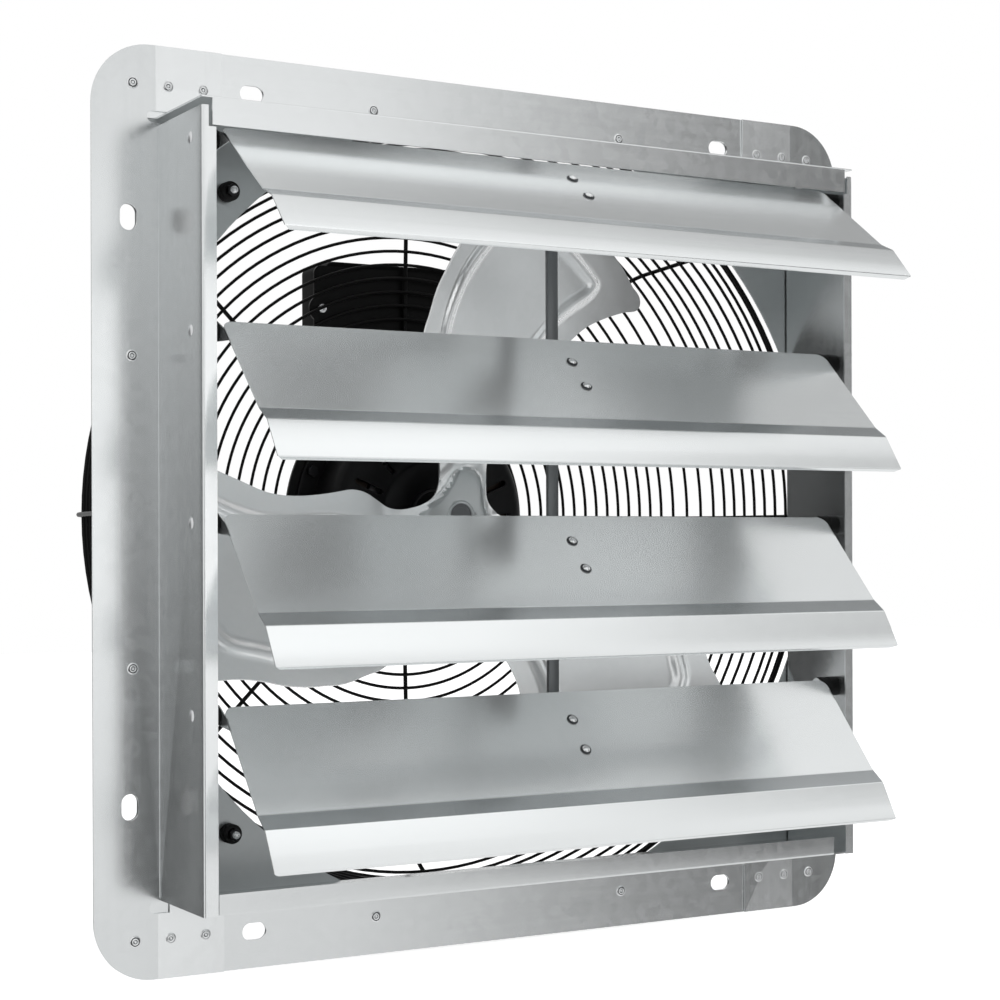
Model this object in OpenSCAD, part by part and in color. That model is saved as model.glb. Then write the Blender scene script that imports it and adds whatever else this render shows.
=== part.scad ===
// Shutter exhaust fan: a square flanged sheet-metal box with four linked louvres in front,
// a three-blade wheel on a round motor behind, and a bowl-shaped wire guard that carries the motor.
// Origin: centre of the mounting slots, on the front face of the flange. -Y is the louvre side.
// The louvres stand open as they do with the fan running.

/* [Flange] */
// Half of the square flange's width
flange_half = 300; // [285:1:315]
// Radius of the flange's outer corners
flange_corner_r = 40; // [20:1:60]
// Thickness of the frame's sheet metal
sheet_t = 1.2; // [0.8:0.1:2]
// How far inside the flange edge the rear panel's edge lies
panel_inset = 1; // [0:0.5:4]
// Length of the side pieces' corner tabs
tab_len = 88.5; // [70:0.5:100]
// How far inside the flange's edge the top and bottom strips end, under the corner tabs
strip_inset = 10; // [5:1:20]
// Least width of the rear panel beside the round air opening
opening_rim = 22; // [18:1:38]

/* [Mounting slots] */
// Distance of the top and bottom slots from the flange's side edges
slot_top_in = 110.5; // [90:0.5:140]
// Distance of the top and bottom slots from the flange's top and bottom edges
slot_top_edge = 24; // [15:0.5:32]
// Distance of the left and right slots from the flange's side edges
slot_side_edge = 24.5; // [15:0.5:32]
// Distance of the left and right slots from the flange's top and bottom edges
slot_side_in = 111.5; // [90:0.5:140]
// Width of a slot
slot_w = 11.3; // [8:0.1:13]
// End-to-end length of a slot
slot_len = 17; // [14:0.5:24]

/* [Box] */
// Width of the flange beside the side walls
side_flange_w = 44.6; // [38:0.1:55]
// Width of the flange above the top wall
top_flange_w = 45.6; // [38:0.1:55]
// Width of the flange below the bottom wall
bottom_flange_w = 50.8; // [42:0.1:60]
// How far the box stands out in front of the flange
box_depth = 75; // [60:1:95]
// How far the side walls' upper end lies below the top wall's outside face
side_short = 5.9; // [2:0.1:10]
// How far the side walls' lower end lies below the bottom wall's outside face
side_over = 0.3; // [0:0.1:4]
// Width of the left wall's front lip
left_lip = 9.4; // [6:0.1:14]
// Width of the right wall's front lip
right_lip = 7.5; // [6:0.1:14]
// Width of the bend that stays where a side lip is notched for the top lip
lip_bend = 4.4; // [3:0.1:6]
// Height of the side lips' notch
lip_notch_h = 13; // [8:0.5:20]
// Height of the top piece's front lip
top_lip_h = 17.8; // [12:0.1:24]
// How far the top piece's front lip ends inside the side walls' outside faces
top_lip_in = 6.9; // [5:0.1:14]
// Height of the bottom piece's front lip
bottom_lip_h = 13.2; // [8:0.1:20]
// How far the bottom lip's left end lies inside the side wall's outside face
bottom_lip_in_left = 9.8; // [9.6:0.1:20]
// How far the bottom lip's right end lies inside the side wall's outside face
bottom_lip_in_right = 18.9; // [8:0.1:25]
// Width of the relief cuts at the box's corners
relief_w = 10; // [6:0.5:12]
// Height of the relief cuts
relief_h = 7.4; // [5:0.1:9]
// Distance of the relief cuts' middle from the flange's top and bottom edges
relief_edge = 45.9; // [40:0.1:55]

/* [Rivets] */
// Radius of a rivet's shank
rivet_r = 2; // [1.5:0.1:3]
// Radius of a rivet's head
rivet_head_r = 3.9; // [3:0.1:6]
// Height of a rivet's head
rivet_head_h = 1.3; // [0.8:0.1:2.5]
// Distance of the outermost corner rivets from the flange's side edges
rivet_corner_edge = 27.5; // [20:0.5:34]
// Spacing of the three rivets at a corner
rivet_step = 24; // [18:0.5:26]
// Distance of the rivet rows from the flange's top and bottom edges
rivet_row_edge = 25.5; // [18:0.5:32]
// Distance from the middle of the rivets between the corners
rivet_mid = 100; // [60:1:140]
// Distance of the rivets in the side flanges from the flange's side edges
rivet_side_edge = 26.5; // [20:0.5:32]

/* [Louvres] */
// Distance of the louvre pivots in front of the flange
pivot_y = 55; // [40:0.5:65]
// Distance of the top louvre's pivot below the top wall's outside face
pivot_drop = 22.8; // [16:0.1:34]
// Distance of the bottom louvre's pivot above the bottom wall's outside face
pivot_rise = 122; // [110:0.1:130]
// Distance between a louvre's end and the side wall
louvre_end_gap = 16.2; // [8:0.1:22]
// Thickness of the louvre sheet
louvre_t = 0.8; // [0.5:0.1:1.2]
// Distance of the louvre's flat panel in front of its pivot, when shut
panel_off = 9.5; // [6:0.1:14]
// Distance of the louvre's top edge below its pivot
panel_top = 1.4; // [0:0.1:4]
// How far a louvre reaches below the next one's pivot, measured along it
louvre_lap = 3; // [0:0.1:8]
// How far the step below the panel brings the lip forward
step_out = 3; // [1:0.1:6]
// Height of that step
step_h = 13; // [8:0.1:20]
// How far the lip comes back at its lower end
lip_back = 5.5; // [2:0.1:9]
// Height of the lip
lip_h = 26.8; // [18:0.1:34]
// Depth of the small return at the lip's lower end
hem_d = 4; // [2:0.1:6]
// Rise of that return
hem_rise = 1.4; // [0:0.1:3]
// Corner radius at the louvre's upper corners
louvre_corner_r = 7; // [3:0.5:12]
// Radius of the pivot ear around its hole
ear_r = 6.5; // [5:0.1:9]
// Distance below the pivot where the ear joins the panel
ear_low = 20; // [14:0.5:30]
// Opening angle of the top louvre in degrees
open_angle_1 = 54; // [20:0.1:70]
// Opening angle of the second louvre in degrees
open_angle_2 = 45.6; // [20:0.1:70]
// Opening angle of the third louvre in degrees
open_angle_3 = 43; // [20:0.1:70]
// Opening angle of the bottom louvre in degrees
open_angle_4 = 41.3; // [20:0.1:70]

/* [Louvre linkage] */
// Radius of the louvre pivot pins
pin_r = 2.4; // [1.5:0.1:4]
// Radius of the round black bushes on the pivot pins
bush_r = 7; // [5:0.1:10]
// Distance of the crank pins from the louvre pivots
crank_r = 34; // [26:0.5:40]
// Angle of the crank pins behind straight down, with the louvres open, in degrees
crank_angle = 40.2; // [30:0.1:60]
// Radius of the crank pins
crank_pin_r = 1.5; // [1:0.1:2.5]
// Width of the tie bar's front face
bar_w = 8.2; // [6:0.1:14]
// Depth of the tie bar's leg
bar_leg = 12.5; // [8:0.1:16]
// Depth of the tie bar's narrow edge
bar_edge = 3.6; // [2:0.1:6]
// Sideways place of the tie bar's leg
bar_x = 22.1; // [10:0.1:60]
// Thickness of the tie bar and of the crank brackets
link_t = 1.2; // [0.8:0.1:2]
// Sideways place of the rivets that hold a crank bracket
bracket_rivet_x = 8.4; // [0:0.1:15]
// Upper bracket rivet's distance below the pivot, as a share of the flat panel
bracket_hi_share = 0.302; // [0.25:0.001:0.35]
// Lower bracket rivet's distance below the pivot, as a share of the flat panel
bracket_lo_share = 0.604; // [0.5:0.001:0.7]
// Half of the width of a crank arm around its pin
arm_half = 5; // [3.5:0.1:8]

/* [Guard] */
// How far inside the flange's edge the guard's rim ring lies
guard_inset = 17.5; // [12:0.5:30]
// Distance of the rim ring behind the flange's front face
guard_y = 17; // [12:0.5:30]
// Inward slope of the guard's side in degrees
guard_slope = 8; // [0:0.5:20]
// Length of the guard's straight side
guard_side = 87; // [50:1:120]
// Bend radius between the guard's side and its back
guard_bend_r = 45; // [20:1:70]
// Slope of the guard's back, measured from the axis in degrees
guard_back = 88; // [80:0.5:89.5]
// Distance between the rings of the side
ring_pitch = 11.4; // [9:0.1:16]
// Distance between the rings of the back
back_pitch = 10.3; // [9:0.1:16]
// Radius of the ring wire
ring_wire_r = 1.2; // [0.8:0.1:2]
// Radius of the rib wire
rib_wire_r = 1.6; // [1:0.1:2.5]
// Radius of the rim ring's wire
rim_wire_r = 1.6; // [1.2:0.1:3]
// Number of ribs
rib_count = 8; // [6:1:16]
// Distance of the guard's bolts from the flange's side edges
guard_bolt_in = 93; // [85:0.5:105]
// Distance of the guard's bolts from the flange's top and bottom edges
guard_bolt_down = 90; // [85:0.5:105]
// Radius of the guard's bolts
guard_bolt_r = 2.4; // [2:0.1:4]
// Radius of the rubber bushes on the guard's bolts
rubber_r = 6.5; // [5:0.1:9]
// Length of the rubber bushes in front of the rear panel
rubber_front = 8; // [4:0.5:14]

/* [Wheel] */
// Clearance between the blade tips and the round air opening
tip_gap = 28; // [20:1:48]
// How far the blade's root lies behind the hub plate's face
blade_root_in = 1.03; // [0.5:0.01:2]
// Radius of the blades' curved surface
blade_bend_r = 800; // [500:10:1200]
// Distance from the trailing edge to the highest line of that curve
blade_crown = 391; // [250:1:500]
// Thickness of the blade sheet
blade_t = 1.5; // [1:0.1:3]
// Direction of the trailing edge in degrees
blade_edge_angle = 59.3; // [50:0.1:75]
// Distance of the hub plate's front face behind the flange's front face
hub_y = 61; // [50:0.5:80]
// Radius of the hub plate
hub_plate_r = 32; // [24:0.5:45]
// Radius of the raised collar around the shaft's end
collar_r = 11.2; // [8:0.1:18]
// Height of that collar
collar_h = 2.4; // [1:0.1:5]
// Radius of the hub sleeve
sleeve_r = 9.2; // [8:0.1:14]
// Length of the hub sleeve
sleeve_len = 27; // [18:0.5:34]

/* [Motor] */
// Radius of the motor's round body
motor_r = 80; // [60:1:95]
// Distance of the motor's front face behind the flange's front face
motor_y = 104; // [98:0.5:120]
// Distance of the motor's rear face behind the flange's front face
motor_end = 184; // [175:0.5:200]
// Thickness of the motor shells
shell_t = 3; // [2:0.1:5]
// Radius of the shells' flanges
shell_flange_r = 94; // [85:0.5:98]
// Distance of the motor bolts from the axis
motor_bolt_ring = 88; // [84:0.5:92]
// Radius of the motor bolts
motor_bolt_r = 2.4; // [2:0.1:4]
// Outer radius of the guard's mounting plate for the motor
plate_r = 101; // [97:0.5:112]
// Thickness of that plate
plate_t = 2.4; // [1.5:0.1:4]
// Radius of the motor shaft
shaft_r = 6; // [5:0.1:9]
// Outer radius of the bearings
bearing_r = 16; // [12:0.5:22]
// Width of the bearings
bearing_w = 10; // [7:0.5:14]
// Length of the stator core
core_len = 40; // [25:1:50]
// Inner radius of the stator core
core_bore_r = 52; // [40:0.5:60]
// Air gap between the rotor and the stator
air_gap = 0.5; // [0.3:0.1:1]

/* [Junction box] */
// Half of the box's width
jbox_half = 64; // [45:1:75]
// Depth of the box
jbox_d = 42; // [30:1:60]
// Height of the box's lower side
jbox_low = 120; // [110:1:135]
// Height of the box's upper side
jbox_high = 193; // [175:1:205]
// Wall thickness of the box
jbox_t = 2.5; // [1.5:0.1:4]
// Half of the width of the box's bracket
jbox_bracket_half = 77; // [60:1:90]
// Radius of the box's edges
jbox_edge_r = 6; // [2:0.5:12]
// Radius of the capacitor
cap_r = 14; // [10:0.5:18]
// Length of the capacitor
cap_len = 52; // [40:1:70]
// Radius of the cable gland's body
gland_r = 9; // [6:0.5:12]

/* [Hidden] */
$fn = 64;
louvre_count = 4;
// Distance left between pieces that don't touch, and the fits of pins in their holes
gap = 0.3;
fit = 0.05;
loose = 0.1;
rear_y = 2 * sheet_t;
rear_back = 3 * sheet_t;
tab_end = flange_half - tab_len;
strip_half = flange_half - strip_inset;
opening_r = flange_half - opening_rim;
slot_top_x = flange_half - slot_top_in;
slot_top_z = flange_half - slot_top_edge;
slot_side_x = flange_half - slot_side_edge;
slot_side_z = flange_half - slot_side_in;
wall_x = flange_half - side_flange_w;
wall_in = wall_x - sheet_t;
top_out = flange_half - top_flange_w;
bottom_out = flange_half - bottom_flange_w;
side_hi = top_out - side_short;
side_lo = bottom_out + side_over;
lip_notch_z = side_hi - lip_notch_h;
top_lip_half = wall_x - top_lip_in;
bottom_lip_left = wall_x - bottom_lip_in_left;
bottom_lip_right = wall_x - bottom_lip_in_right;
relief_z = flange_half - relief_edge;
rivet_corner_x = flange_half - rivet_corner_edge;
rivet_row_z = flange_half - rivet_row_edge;
rivet_side_x = flange_half - rivet_side_edge;
head_ball_r = (rivet_head_r * rivet_head_r + rivet_head_h * rivet_head_h) / (2 * rivet_head_h);
pivot_top_z = top_out - pivot_drop;
pitch = (pivot_top_z + bottom_out - pivot_rise) / (louvre_count - 1);
louvre_half = wall_in - louvre_end_gap;
panel_low = pitch + louvre_lap - step_h - lip_h;
bracket_rivet_hi = bracket_hi_share * panel_low;
bracket_rivet_lo = bracket_lo_share * panel_low;
opens = [open_angle_1, open_angle_2, open_angle_3, open_angle_4];
shut_angle = 4.5;
shut_angle_low = 9;
spare_angle = 15;
shuts = [shut_angle, shut_angle, shut_angle, shut_angle_low];
lead = 1;
lead_swing = open_angle_2 - shut_angle;
guard_r = flange_half - guard_inset;
guard_bolt_x = flange_half - guard_bolt_in;
guard_bolt_z = flange_half - guard_bolt_down;
wheel_r = opening_r - tip_gap;

// A flat shape drawn in x and z, as a plate from y0 to y0 + t
module plate_xz(y0, t) {
    translate([0, y0 + t, 0]) rotate([90, 0, 0]) linear_extrude(t) children();
}

// A flat shape drawn in y and z, as a plate from x0 to x0 + t
module plate_yz(x0, t) {
    translate([x0, 0, 0]) rotate([90, 0, 90]) linear_extrude(t) children();
}

// A round bar along y
module rod_y(r, y0, y1) {
    translate([0, y0, 0]) rotate([-90, 0, 0]) cylinder(r = r, h = y1 - y0);
}

// A round bar along x
module rod_x(r, x0, x1) {
    translate([x0, 0, 0]) rotate([0, 90, 0]) cylinder(r = r, h = x1 - x0);
}

// A shape drawn as radius and y, turned about the y axis
module turn_y() {
    rotate([-90, 0, 0]) rotate_extrude() children();
}

// A rounded square drawn in x and z
module round_rect(hx, hz, r) {
    square([2 * (hx - r), 2 * hz], center = true);
    square([2 * hx, 2 * (hz - r)], center = true);
    for (sx = [-1, 1], sz = [-1, 1]) translate([sx * (hx - r), sz * (hz - r)]) circle(r);
}

// The outline of a slot, long side along x
module slot_x() {
    square([slot_len - slot_w, slot_w], center = true);
    for (s = [-1, 1]) translate([s * (slot_len - slot_w) / 2, 0]) circle(slot_w / 2);
}

module top_slots() {
    for (s = [-1, 1]) translate([s * slot_top_x, slot_top_z]) slot_x();
}

module bottom_slots() {
    mirror([0, 1]) top_slots();
}

module side_slots() {
    for (s = [-1, 1]) translate([slot_side_x, s * slot_side_z]) rotate(90) slot_x();
}

// Rivet places in the right half that hold the corners
corner_rivets = [for (k = [0:2], s = [-1, 1]) [rivet_corner_x - k * rivet_step, s * rivet_row_z]];
side_rivets = [for (s = [-1, 1]) [rivet_side_x, s * rivet_mid]];
row_rivets = [for (s = [-1, 1], t = [-1, 1]) [s * rivet_mid, t * rivet_row_z]];

module holes(places, r) {
    for (p = places) translate(p) circle(r);
}

// The right-hand side piece: flange with corner tabs, wall and front lip
module side_piece(lip) {
    difference() {
        plate_xz(0, sheet_t) difference() {
            intersection() {
                round_rect(flange_half, flange_half, flange_corner_r);
                union() {
                    translate([wall_in, -flange_half]) square([flange_half, 2 * flange_half]);
                    translate([tab_end, top_out + gap]) square([flange_half, flange_half]);
                    translate([tab_end, -2 * flange_half])
                        square([flange_half, 2 * flange_half - bottom_out - gap]);
                }
            }
            holes(corner_rivets, rivet_r + fit);
            holes(side_rivets, rivet_r + fit);
            side_slots();
            for (s = [-1, 1]) translate([wall_x - relief_w / 2 + relief_h / 2, s * relief_z])
                square([relief_w, relief_h], center = true);
            for (s = [-1, 1]) translate([wall_x + relief_h / 2, s * relief_z]) circle(relief_h / 2);
        }
    }
    difference() {
        translate([wall_in, -box_depth, -side_lo])
            cube([sheet_t, box_depth + sheet_t / 2, side_lo + side_hi]);
        for (i = [0:louvre_count - 1]) translate([0, -pivot_y, pivot_top_z - i * pitch])
            rod_x(pin_r + fit, wall_in - sheet_t, wall_x + sheet_t);
    }
    plate_xz(-box_depth, sheet_t) difference() {
        translate([wall_x - lip, -side_lo + gap]) square([lip, side_lo - gap + side_hi]);
        translate([wall_x - 2 * lip, lip_notch_z]) square([2 * lip - lip_bend, side_hi]);
    }
}

module left_panel() {
    color([0.78, 0.79, 0.8]) mirror([1, 0, 0]) side_piece(left_lip);
}

module right_panel() {
    color([0.74, 0.75, 0.76]) side_piece(right_lip);
}

// The top piece: flange strip, wall and front lip
module top_channel() {
    color([0.8, 0.8, 0.82]) {
        plate_xz(sheet_t, sheet_t) difference() {
            intersection() {
                round_rect(flange_half, flange_half, flange_corner_r);
                translate([-strip_half, top_out - sheet_t]) square([2 * strip_half, flange_half]);
            }
            holes(corner_rivets, rivet_r + fit);
            mirror([1, 0]) holes(corner_rivets, rivet_r + fit);
            holes(row_rivets, rivet_r + fit);
            top_slots();
        }
        translate([-wall_x, -box_depth, top_out - sheet_t]) cube([2 * wall_x, box_depth + rear_y, sheet_t]);
        translate([-top_lip_half, -box_depth, top_out - top_lip_h])
            cube([2 * top_lip_half, sheet_t, top_lip_h]);
    }
}

// The bottom piece: flange strip, wall and front lip
module bottom_channel() {
    color([0.74, 0.75, 0.77]) {
        plate_xz(sheet_t, sheet_t) difference() {
            intersection() {
                round_rect(flange_half, flange_half, flange_corner_r);
                translate([-strip_half, -flange_half])
                    square([2 * strip_half, flange_half - bottom_out + sheet_t]);
            }
            holes(corner_rivets, rivet_r + fit);
            mirror([1, 0]) holes(corner_rivets, rivet_r + fit);
            holes(row_rivets, rivet_r + fit);
            bottom_slots();
        }
        translate([-wall_in + gap, -box_depth + sheet_t + gap, -bottom_out])
            cube([2 * (wall_in - gap), box_depth + rear_y - sheet_t - gap, sheet_t]);
        translate([-bottom_lip_left, -box_depth, -bottom_out])
            cube([bottom_lip_left + bottom_lip_right, 2 * sheet_t, sheet_t]);
        translate([-bottom_lip_left, -box_depth, -bottom_out])
            cube([bottom_lip_left + bottom_lip_right, sheet_t, bottom_lip_h]);
    }
}

// The rear panel with its round air opening
module rear_panel() {
    color([0.7, 0.72, 0.73]) plate_xz(rear_y, sheet_t) difference() {
        round_rect(flange_half - panel_inset, flange_half - panel_inset, flange_corner_r - panel_inset);
        circle(opening_r);
        holes(corner_rivets, rivet_r + fit);
        mirror([1, 0]) holes(corner_rivets, rivet_r + fit);
        holes(side_rivets, rivet_r + fit);
        mirror([1, 0]) holes(side_rivets, rivet_r + fit);
        holes(row_rivets, rivet_r + fit);
        top_slots();
        bottom_slots();
        side_slots();
        mirror([1, 0]) side_slots();
        for (sx = [-1, 1], sz = [-1, 1]) translate([sx * guard_bolt_x, sz * guard_bolt_z])
            circle(guard_bolt_r + loose);
    }
}

// A blind rivet from y0 to y1, domed in front and set behind
module rivet(y0, y1) {
    turn_y() difference() {
        intersection() {
            translate([0, y0 - rivet_head_h + head_ball_r]) circle(head_ball_r);
            translate([0, y0 - rivet_head_h]) square([rivet_head_r, rivet_head_h]);
        }
        translate([0, y0 - rivet_head_h]) square([rivet_r / 2, rivet_head_h / 2]);
    }
    rod_y(rivet_r, y0 - rivet_head_h / 4, y1);
    rod_y(rivet_r * 1.5, y1, y1 + rivet_head_h);
}

module frame_rivets() {
    color([0.55, 0.56, 0.57]) {
        for (m = [0, 1]) mirror([m, 0, 0]) {
            for (p = corner_rivets) translate([p[0], 0, p[1]]) rivet(0, rear_back);
            for (p = side_rivets) translate([p[0], 0, p[1]]) rivet(0, rear_back);
        }
        for (p = row_rivets) translate([p[0], 0, p[1]]) rivet(sheet_t, rear_back);
    }
}

pin_in = louvre_half - louvre_t - gap;
pin_flare = pin_in - sheet_t;

// The eight louvre pivot pins, riveted into the side walls
module pivot_pins() {
    color([0.6, 0.61, 0.62]) for (m = [0, 1], i = [0:louvre_count - 1]) mirror([m, 0, 0])
        translate([0, -pivot_y, pivot_top_z - i * pitch]) {
            rod_x(pin_r, pin_flare, wall_x + rivet_head_h / 4);
            rod_x(pin_r + gap * 2, pin_flare, pin_in);
            translate([wall_x, 0, 0]) rotate([0, 90, 0]) rotate_extrude() intersection() {
                translate([0, rivet_head_h - head_ball_r]) circle(head_ball_r);
                square([rivet_head_r, rivet_head_h]);
            }
        }
}

// The round black bushes that keep the louvres central between the walls
module pivot_bushes() {
    color([0.06, 0.06, 0.06]) for (m = [0, 1], i = [0:louvre_count - 1]) mirror([m, 0, 0])
        translate([0, -pivot_y, pivot_top_z - i * pitch]) difference() {
            rod_x(bush_r, louvre_half + gap, wall_in);
            rod_x(pin_r + fit, louvre_half - gap, wall_in + gap);
        }
}

// The louvre's section, drawn in y and z with the pivot at 0, 0 and the louvre upright
sec = [[-panel_off, -panel_top], [-panel_off, -panel_low], [-panel_off - step_out, -panel_low - step_h],
    [-panel_off - step_out + lip_back, -panel_low - step_h - lip_h],
    [-panel_off - step_out + lip_back + hem_d, -panel_low - step_h - lip_h + hem_rise]];

// Points of a bent strip's edge, at distance d to the left of the line through the points p
function unit(v) = v / norm(v);
function left_of(v) = [-v[1], v[0]];
function side_dir(p, k) = left_of(unit(p[min(k + 1, len(p) - 1)] - p[min(k, len(p) - 2)]));
function mitre(p, k, d) = let(
    a = side_dir(p, max(k - 1, 0)),
    b = side_dir(p, k)
) p[k] + d * (a + b) / (1 + a * b);
function strip_edge(p, d) = [for (k = [0:len(p) - 1]) mitre(p, k, d)];
function reversed(p) = [for (k = [len(p) - 1:-1:0]) p[k]];

// The cut that rounds a louvre's upper corner, drawn in x and z from the corner
corner_shares = [[0.15, 0.15], [-1, 0.15], [-1, 0], [-0.55, -0.1], [-0.25, -0.25], [-0.1, -0.55], [0, -1],
    [0.15, -1]];

module louvre_shape() {
    difference() {
        plate_yz(-louvre_half, 2 * louvre_half)
            polygon(concat(strip_edge(sec, louvre_t / 2), reversed(strip_edge(sec, -louvre_t / 2))));
        for (m = [0, 1]) mirror([m, 0, 0]) plate_xz(-panel_off - louvre_t, 2 * louvre_t)
            translate([louvre_half, -panel_top]) polygon(corner_shares * louvre_corner_r);
        for (h = [bracket_rivet_hi, bracket_rivet_lo]) translate([bracket_rivet_x, 0, -h])
            rod_y(rivet_r + fit, -panel_off - step_out, -panel_off + step_out);
    }
    for (m = [0, 1]) mirror([m, 0, 0]) plate_yz(louvre_half - louvre_t, louvre_t) difference() {
        union() {
            circle(ear_r);
            polygon([[-panel_off, -ear_r - louvre_corner_r / 2], [-panel_off, -ear_low],
                ear_r * ear_low_share, ear_r * ear_top_share]);
        }
        circle(pin_r + fit);
    }
}
ear_low_share = [0.55, -0.65];
ear_top_share = [-0.7, 0.4];

// Where louvre number i stands, opened by its own angle
module at_louvre(i) {
    translate([0, -pivot_y, pivot_top_z - i * pitch]) rotate([-opens[i], 0, 0]) children();
}

module louvre_1() { color([0.82, 0.83, 0.84]) at_louvre(0) louvre_shape(); }
module louvre_2() { color([0.8, 0.81, 0.82]) at_louvre(1) louvre_shape(); }
module louvre_3() { color([0.8, 0.81, 0.82]) at_louvre(2) louvre_shape(); }
module louvre_4() { color([0.8, 0.81, 0.82]) at_louvre(3) louvre_shape(); }

// Crank angles of louvre i in its own upright frame: at rest, shut and fully open
function swing_of(i) = opens[i] - shuts[i];
function at_rest(i) = crank_angle + opens[i];
function at_shut(i) = crank_angle + lead_swing + shuts[i];
function at_open(i) = crank_angle - spare_angle + opens[i] + spare_angle * swing_of(i) / lead_swing;
function slot_lo(i) = min(at_rest(i), at_shut(i), at_open(i));
function slot_hi(i) = max(at_rest(i), at_shut(i), at_open(i));
function crank_at(a, r) = [r * sin(a), -r * cos(a)];

// A curved slot about the louvre pivot, from angle lo to angle hi
module arc_slot(lo, hi, half) {
    for (a = [lo, hi]) translate(crank_at(a, crank_r)) circle(half);
    intersection() {
        difference() {
            circle(crank_r + half);
            circle(crank_r - half);
        }
        polygon([[0, 0], crank_at(lo, 2 * crank_r), crank_at((lo + hi) / 2, 2 * crank_r),
            crank_at(hi, 2 * crank_r)]);
    }
}

arm_x = bar_x + gap;
base_y = -panel_off + louvre_t / 2;
base_low = bracket_rivet_lo + arm_half;
base_high = bracket_rivet_hi - arm_half;
arm_turn = arm_half / crank_r * 180 / PI;

// The crank bracket of louvre i: a plate riveted to the louvre's back and an arm bent rearwards
module crank_shape(i) {
    difference() {
        translate([bracket_rivet_x - arm_half, base_y, -base_low])
            cube([arm_x + link_t - bracket_rivet_x + arm_half, link_t, base_low - base_high]);
        for (h = [bracket_rivet_hi, bracket_rivet_lo]) translate([bracket_rivet_x, 0, -h])
            rod_y(rivet_r + fit, base_y - link_t, base_y + 2 * link_t);
    }
    plate_yz(arm_x, link_t) difference() {
        polygon([[base_y, -base_high], [base_y, -base_low],
            crank_at(slot_lo(i) - arm_turn, crank_r + arm_half / 2),
            crank_at(slot_lo(i), crank_r + arm_half),
            crank_at(slot_hi(i), crank_r + arm_half),
            crank_at(slot_hi(i) + arm_turn, crank_r),
            crank_at(slot_hi(i) + arm_turn, crank_r - arm_half)]);
        if (i == lead) translate(crank_at(at_rest(i), crank_r)) circle(crank_pin_r + fit);
        if (i != lead) arc_slot(slot_lo(i), slot_hi(i), crank_pin_r + loose);
    }
}

module crank_1() { color([0.66, 0.67, 0.68]) at_louvre(0) crank_shape(0); }
module crank_2() { color([0.66, 0.67, 0.68]) at_louvre(1) crank_shape(1); }
module crank_3() { color([0.66, 0.67, 0.68]) at_louvre(2) crank_shape(2); }
module crank_4() { color([0.66, 0.67, 0.68]) at_louvre(3) crank_shape(3); }

// The two domed rivets that hold a crank bracket to its louvre
module crank_rivets() {
    for (h = [bracket_rivet_hi, bracket_rivet_lo]) translate([bracket_rivet_x, 0, -h])
        rivet(-panel_off - louvre_t / 2, base_y + link_t);
}

module crank_rivets_1() { color([0.7, 0.71, 0.72]) at_louvre(0) crank_rivets(); }
module crank_rivets_2() { color([0.7, 0.71, 0.72]) at_louvre(1) crank_rivets(); }
module crank_rivets_3() { color([0.7, 0.71, 0.72]) at_louvre(2) crank_rivets(); }
module crank_rivets_4() { color([0.7, 0.71, 0.72]) at_louvre(3) crank_rivets(); }

crank_y = -pivot_y + crank_r * sin(crank_angle);
crank_drop = crank_r * cos(crank_angle);
bar_front = crank_y - bar_leg / 2 - link_t / 2;
bar_top = pivot_top_z - crank_drop + arm_half;
bar_bottom = pivot_top_z - (louvre_count - 1) * pitch - crank_drop - arm_half;

// The upright bar that ties the four cranks together
module tie_bar() {
    color([0.42, 0.43, 0.44]) difference() {
        translate([0, 0, bar_bottom]) linear_extrude(bar_top - bar_bottom) {
            translate([bar_x - bar_w, bar_front]) square([bar_w, link_t]);
            translate([bar_x - bar_w, bar_front]) square([link_t, bar_edge]);
            translate([bar_x - link_t, bar_front]) square([link_t, bar_leg]);
        }
        for (i = [0:louvre_count - 1]) translate([0, crank_y, pivot_top_z - i * pitch - crank_drop])
            rod_x(crank_pin_r + fit, bar_x - 2 * link_t, bar_x + link_t);
    }
}

// The four crank pins, set in the tie bar
module tie_pins() {
    color([0.6, 0.61, 0.62]) for (i = [0:louvre_count - 1])
        translate([0, crank_y, pivot_top_z - i * pitch - crank_drop]) {
            rod_x(crank_pin_r, bar_x - link_t, arm_x + link_t + gap);
            rod_x(2 * crank_pin_r, bar_x - 2 * link_t, bar_x - link_t);
            rod_x(2 * crank_pin_r, arm_x + link_t + gap, arm_x + 2 * link_t + gap);
        }
}

// The guard's side and back as one line, drawn as radius and y, at distance s from the rim
bend_turn = guard_back - guard_slope;
bend_len = guard_bend_r * bend_turn * PI / 180;
side_end = [guard_r - guard_side * sin(guard_slope), guard_y + guard_side * cos(guard_slope)];
bend_mid = side_end - guard_bend_r * [cos(guard_slope), sin(guard_slope)];
bend_end = bend_mid + guard_bend_r * [cos(guard_back), sin(guard_back)];
function bend_angle(s) = guard_slope + (s - guard_side) / guard_bend_r * 180 / PI;
function along(s) = s <= guard_side
    ? [guard_r - s * sin(guard_slope), guard_y + s * cos(guard_slope)]
    : s <= guard_side + bend_len
    ? bend_mid + guard_bend_r * [cos(bend_angle(s)), sin(bend_angle(s))]
    : bend_end + (s - guard_side - bend_len) * [-sin(guard_back), cos(guard_back)];
ring_double = 3.2;
ring_first = 7.9;
side_rings = concat([0, ring_double, ring_double + ring_first, ring_double + 2 * ring_first],
    [for (k = [1:10]) ring_double + 2 * ring_first + k * ring_pitch]);
back_start = side_rings[len(side_rings) - 1] + back_pitch;
rib_end_gap = 1.5;
rib_inner_r = shell_flange_r + rib_end_gap;
rib_weld = ring_wire_r + rib_wire_r + fit;
back_len = (bend_end[0] - rib_inner_r) / sin(guard_back);
back_stop = guard_side + bend_len + (bend_end[0] - plate_r) / sin(guard_back);
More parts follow.
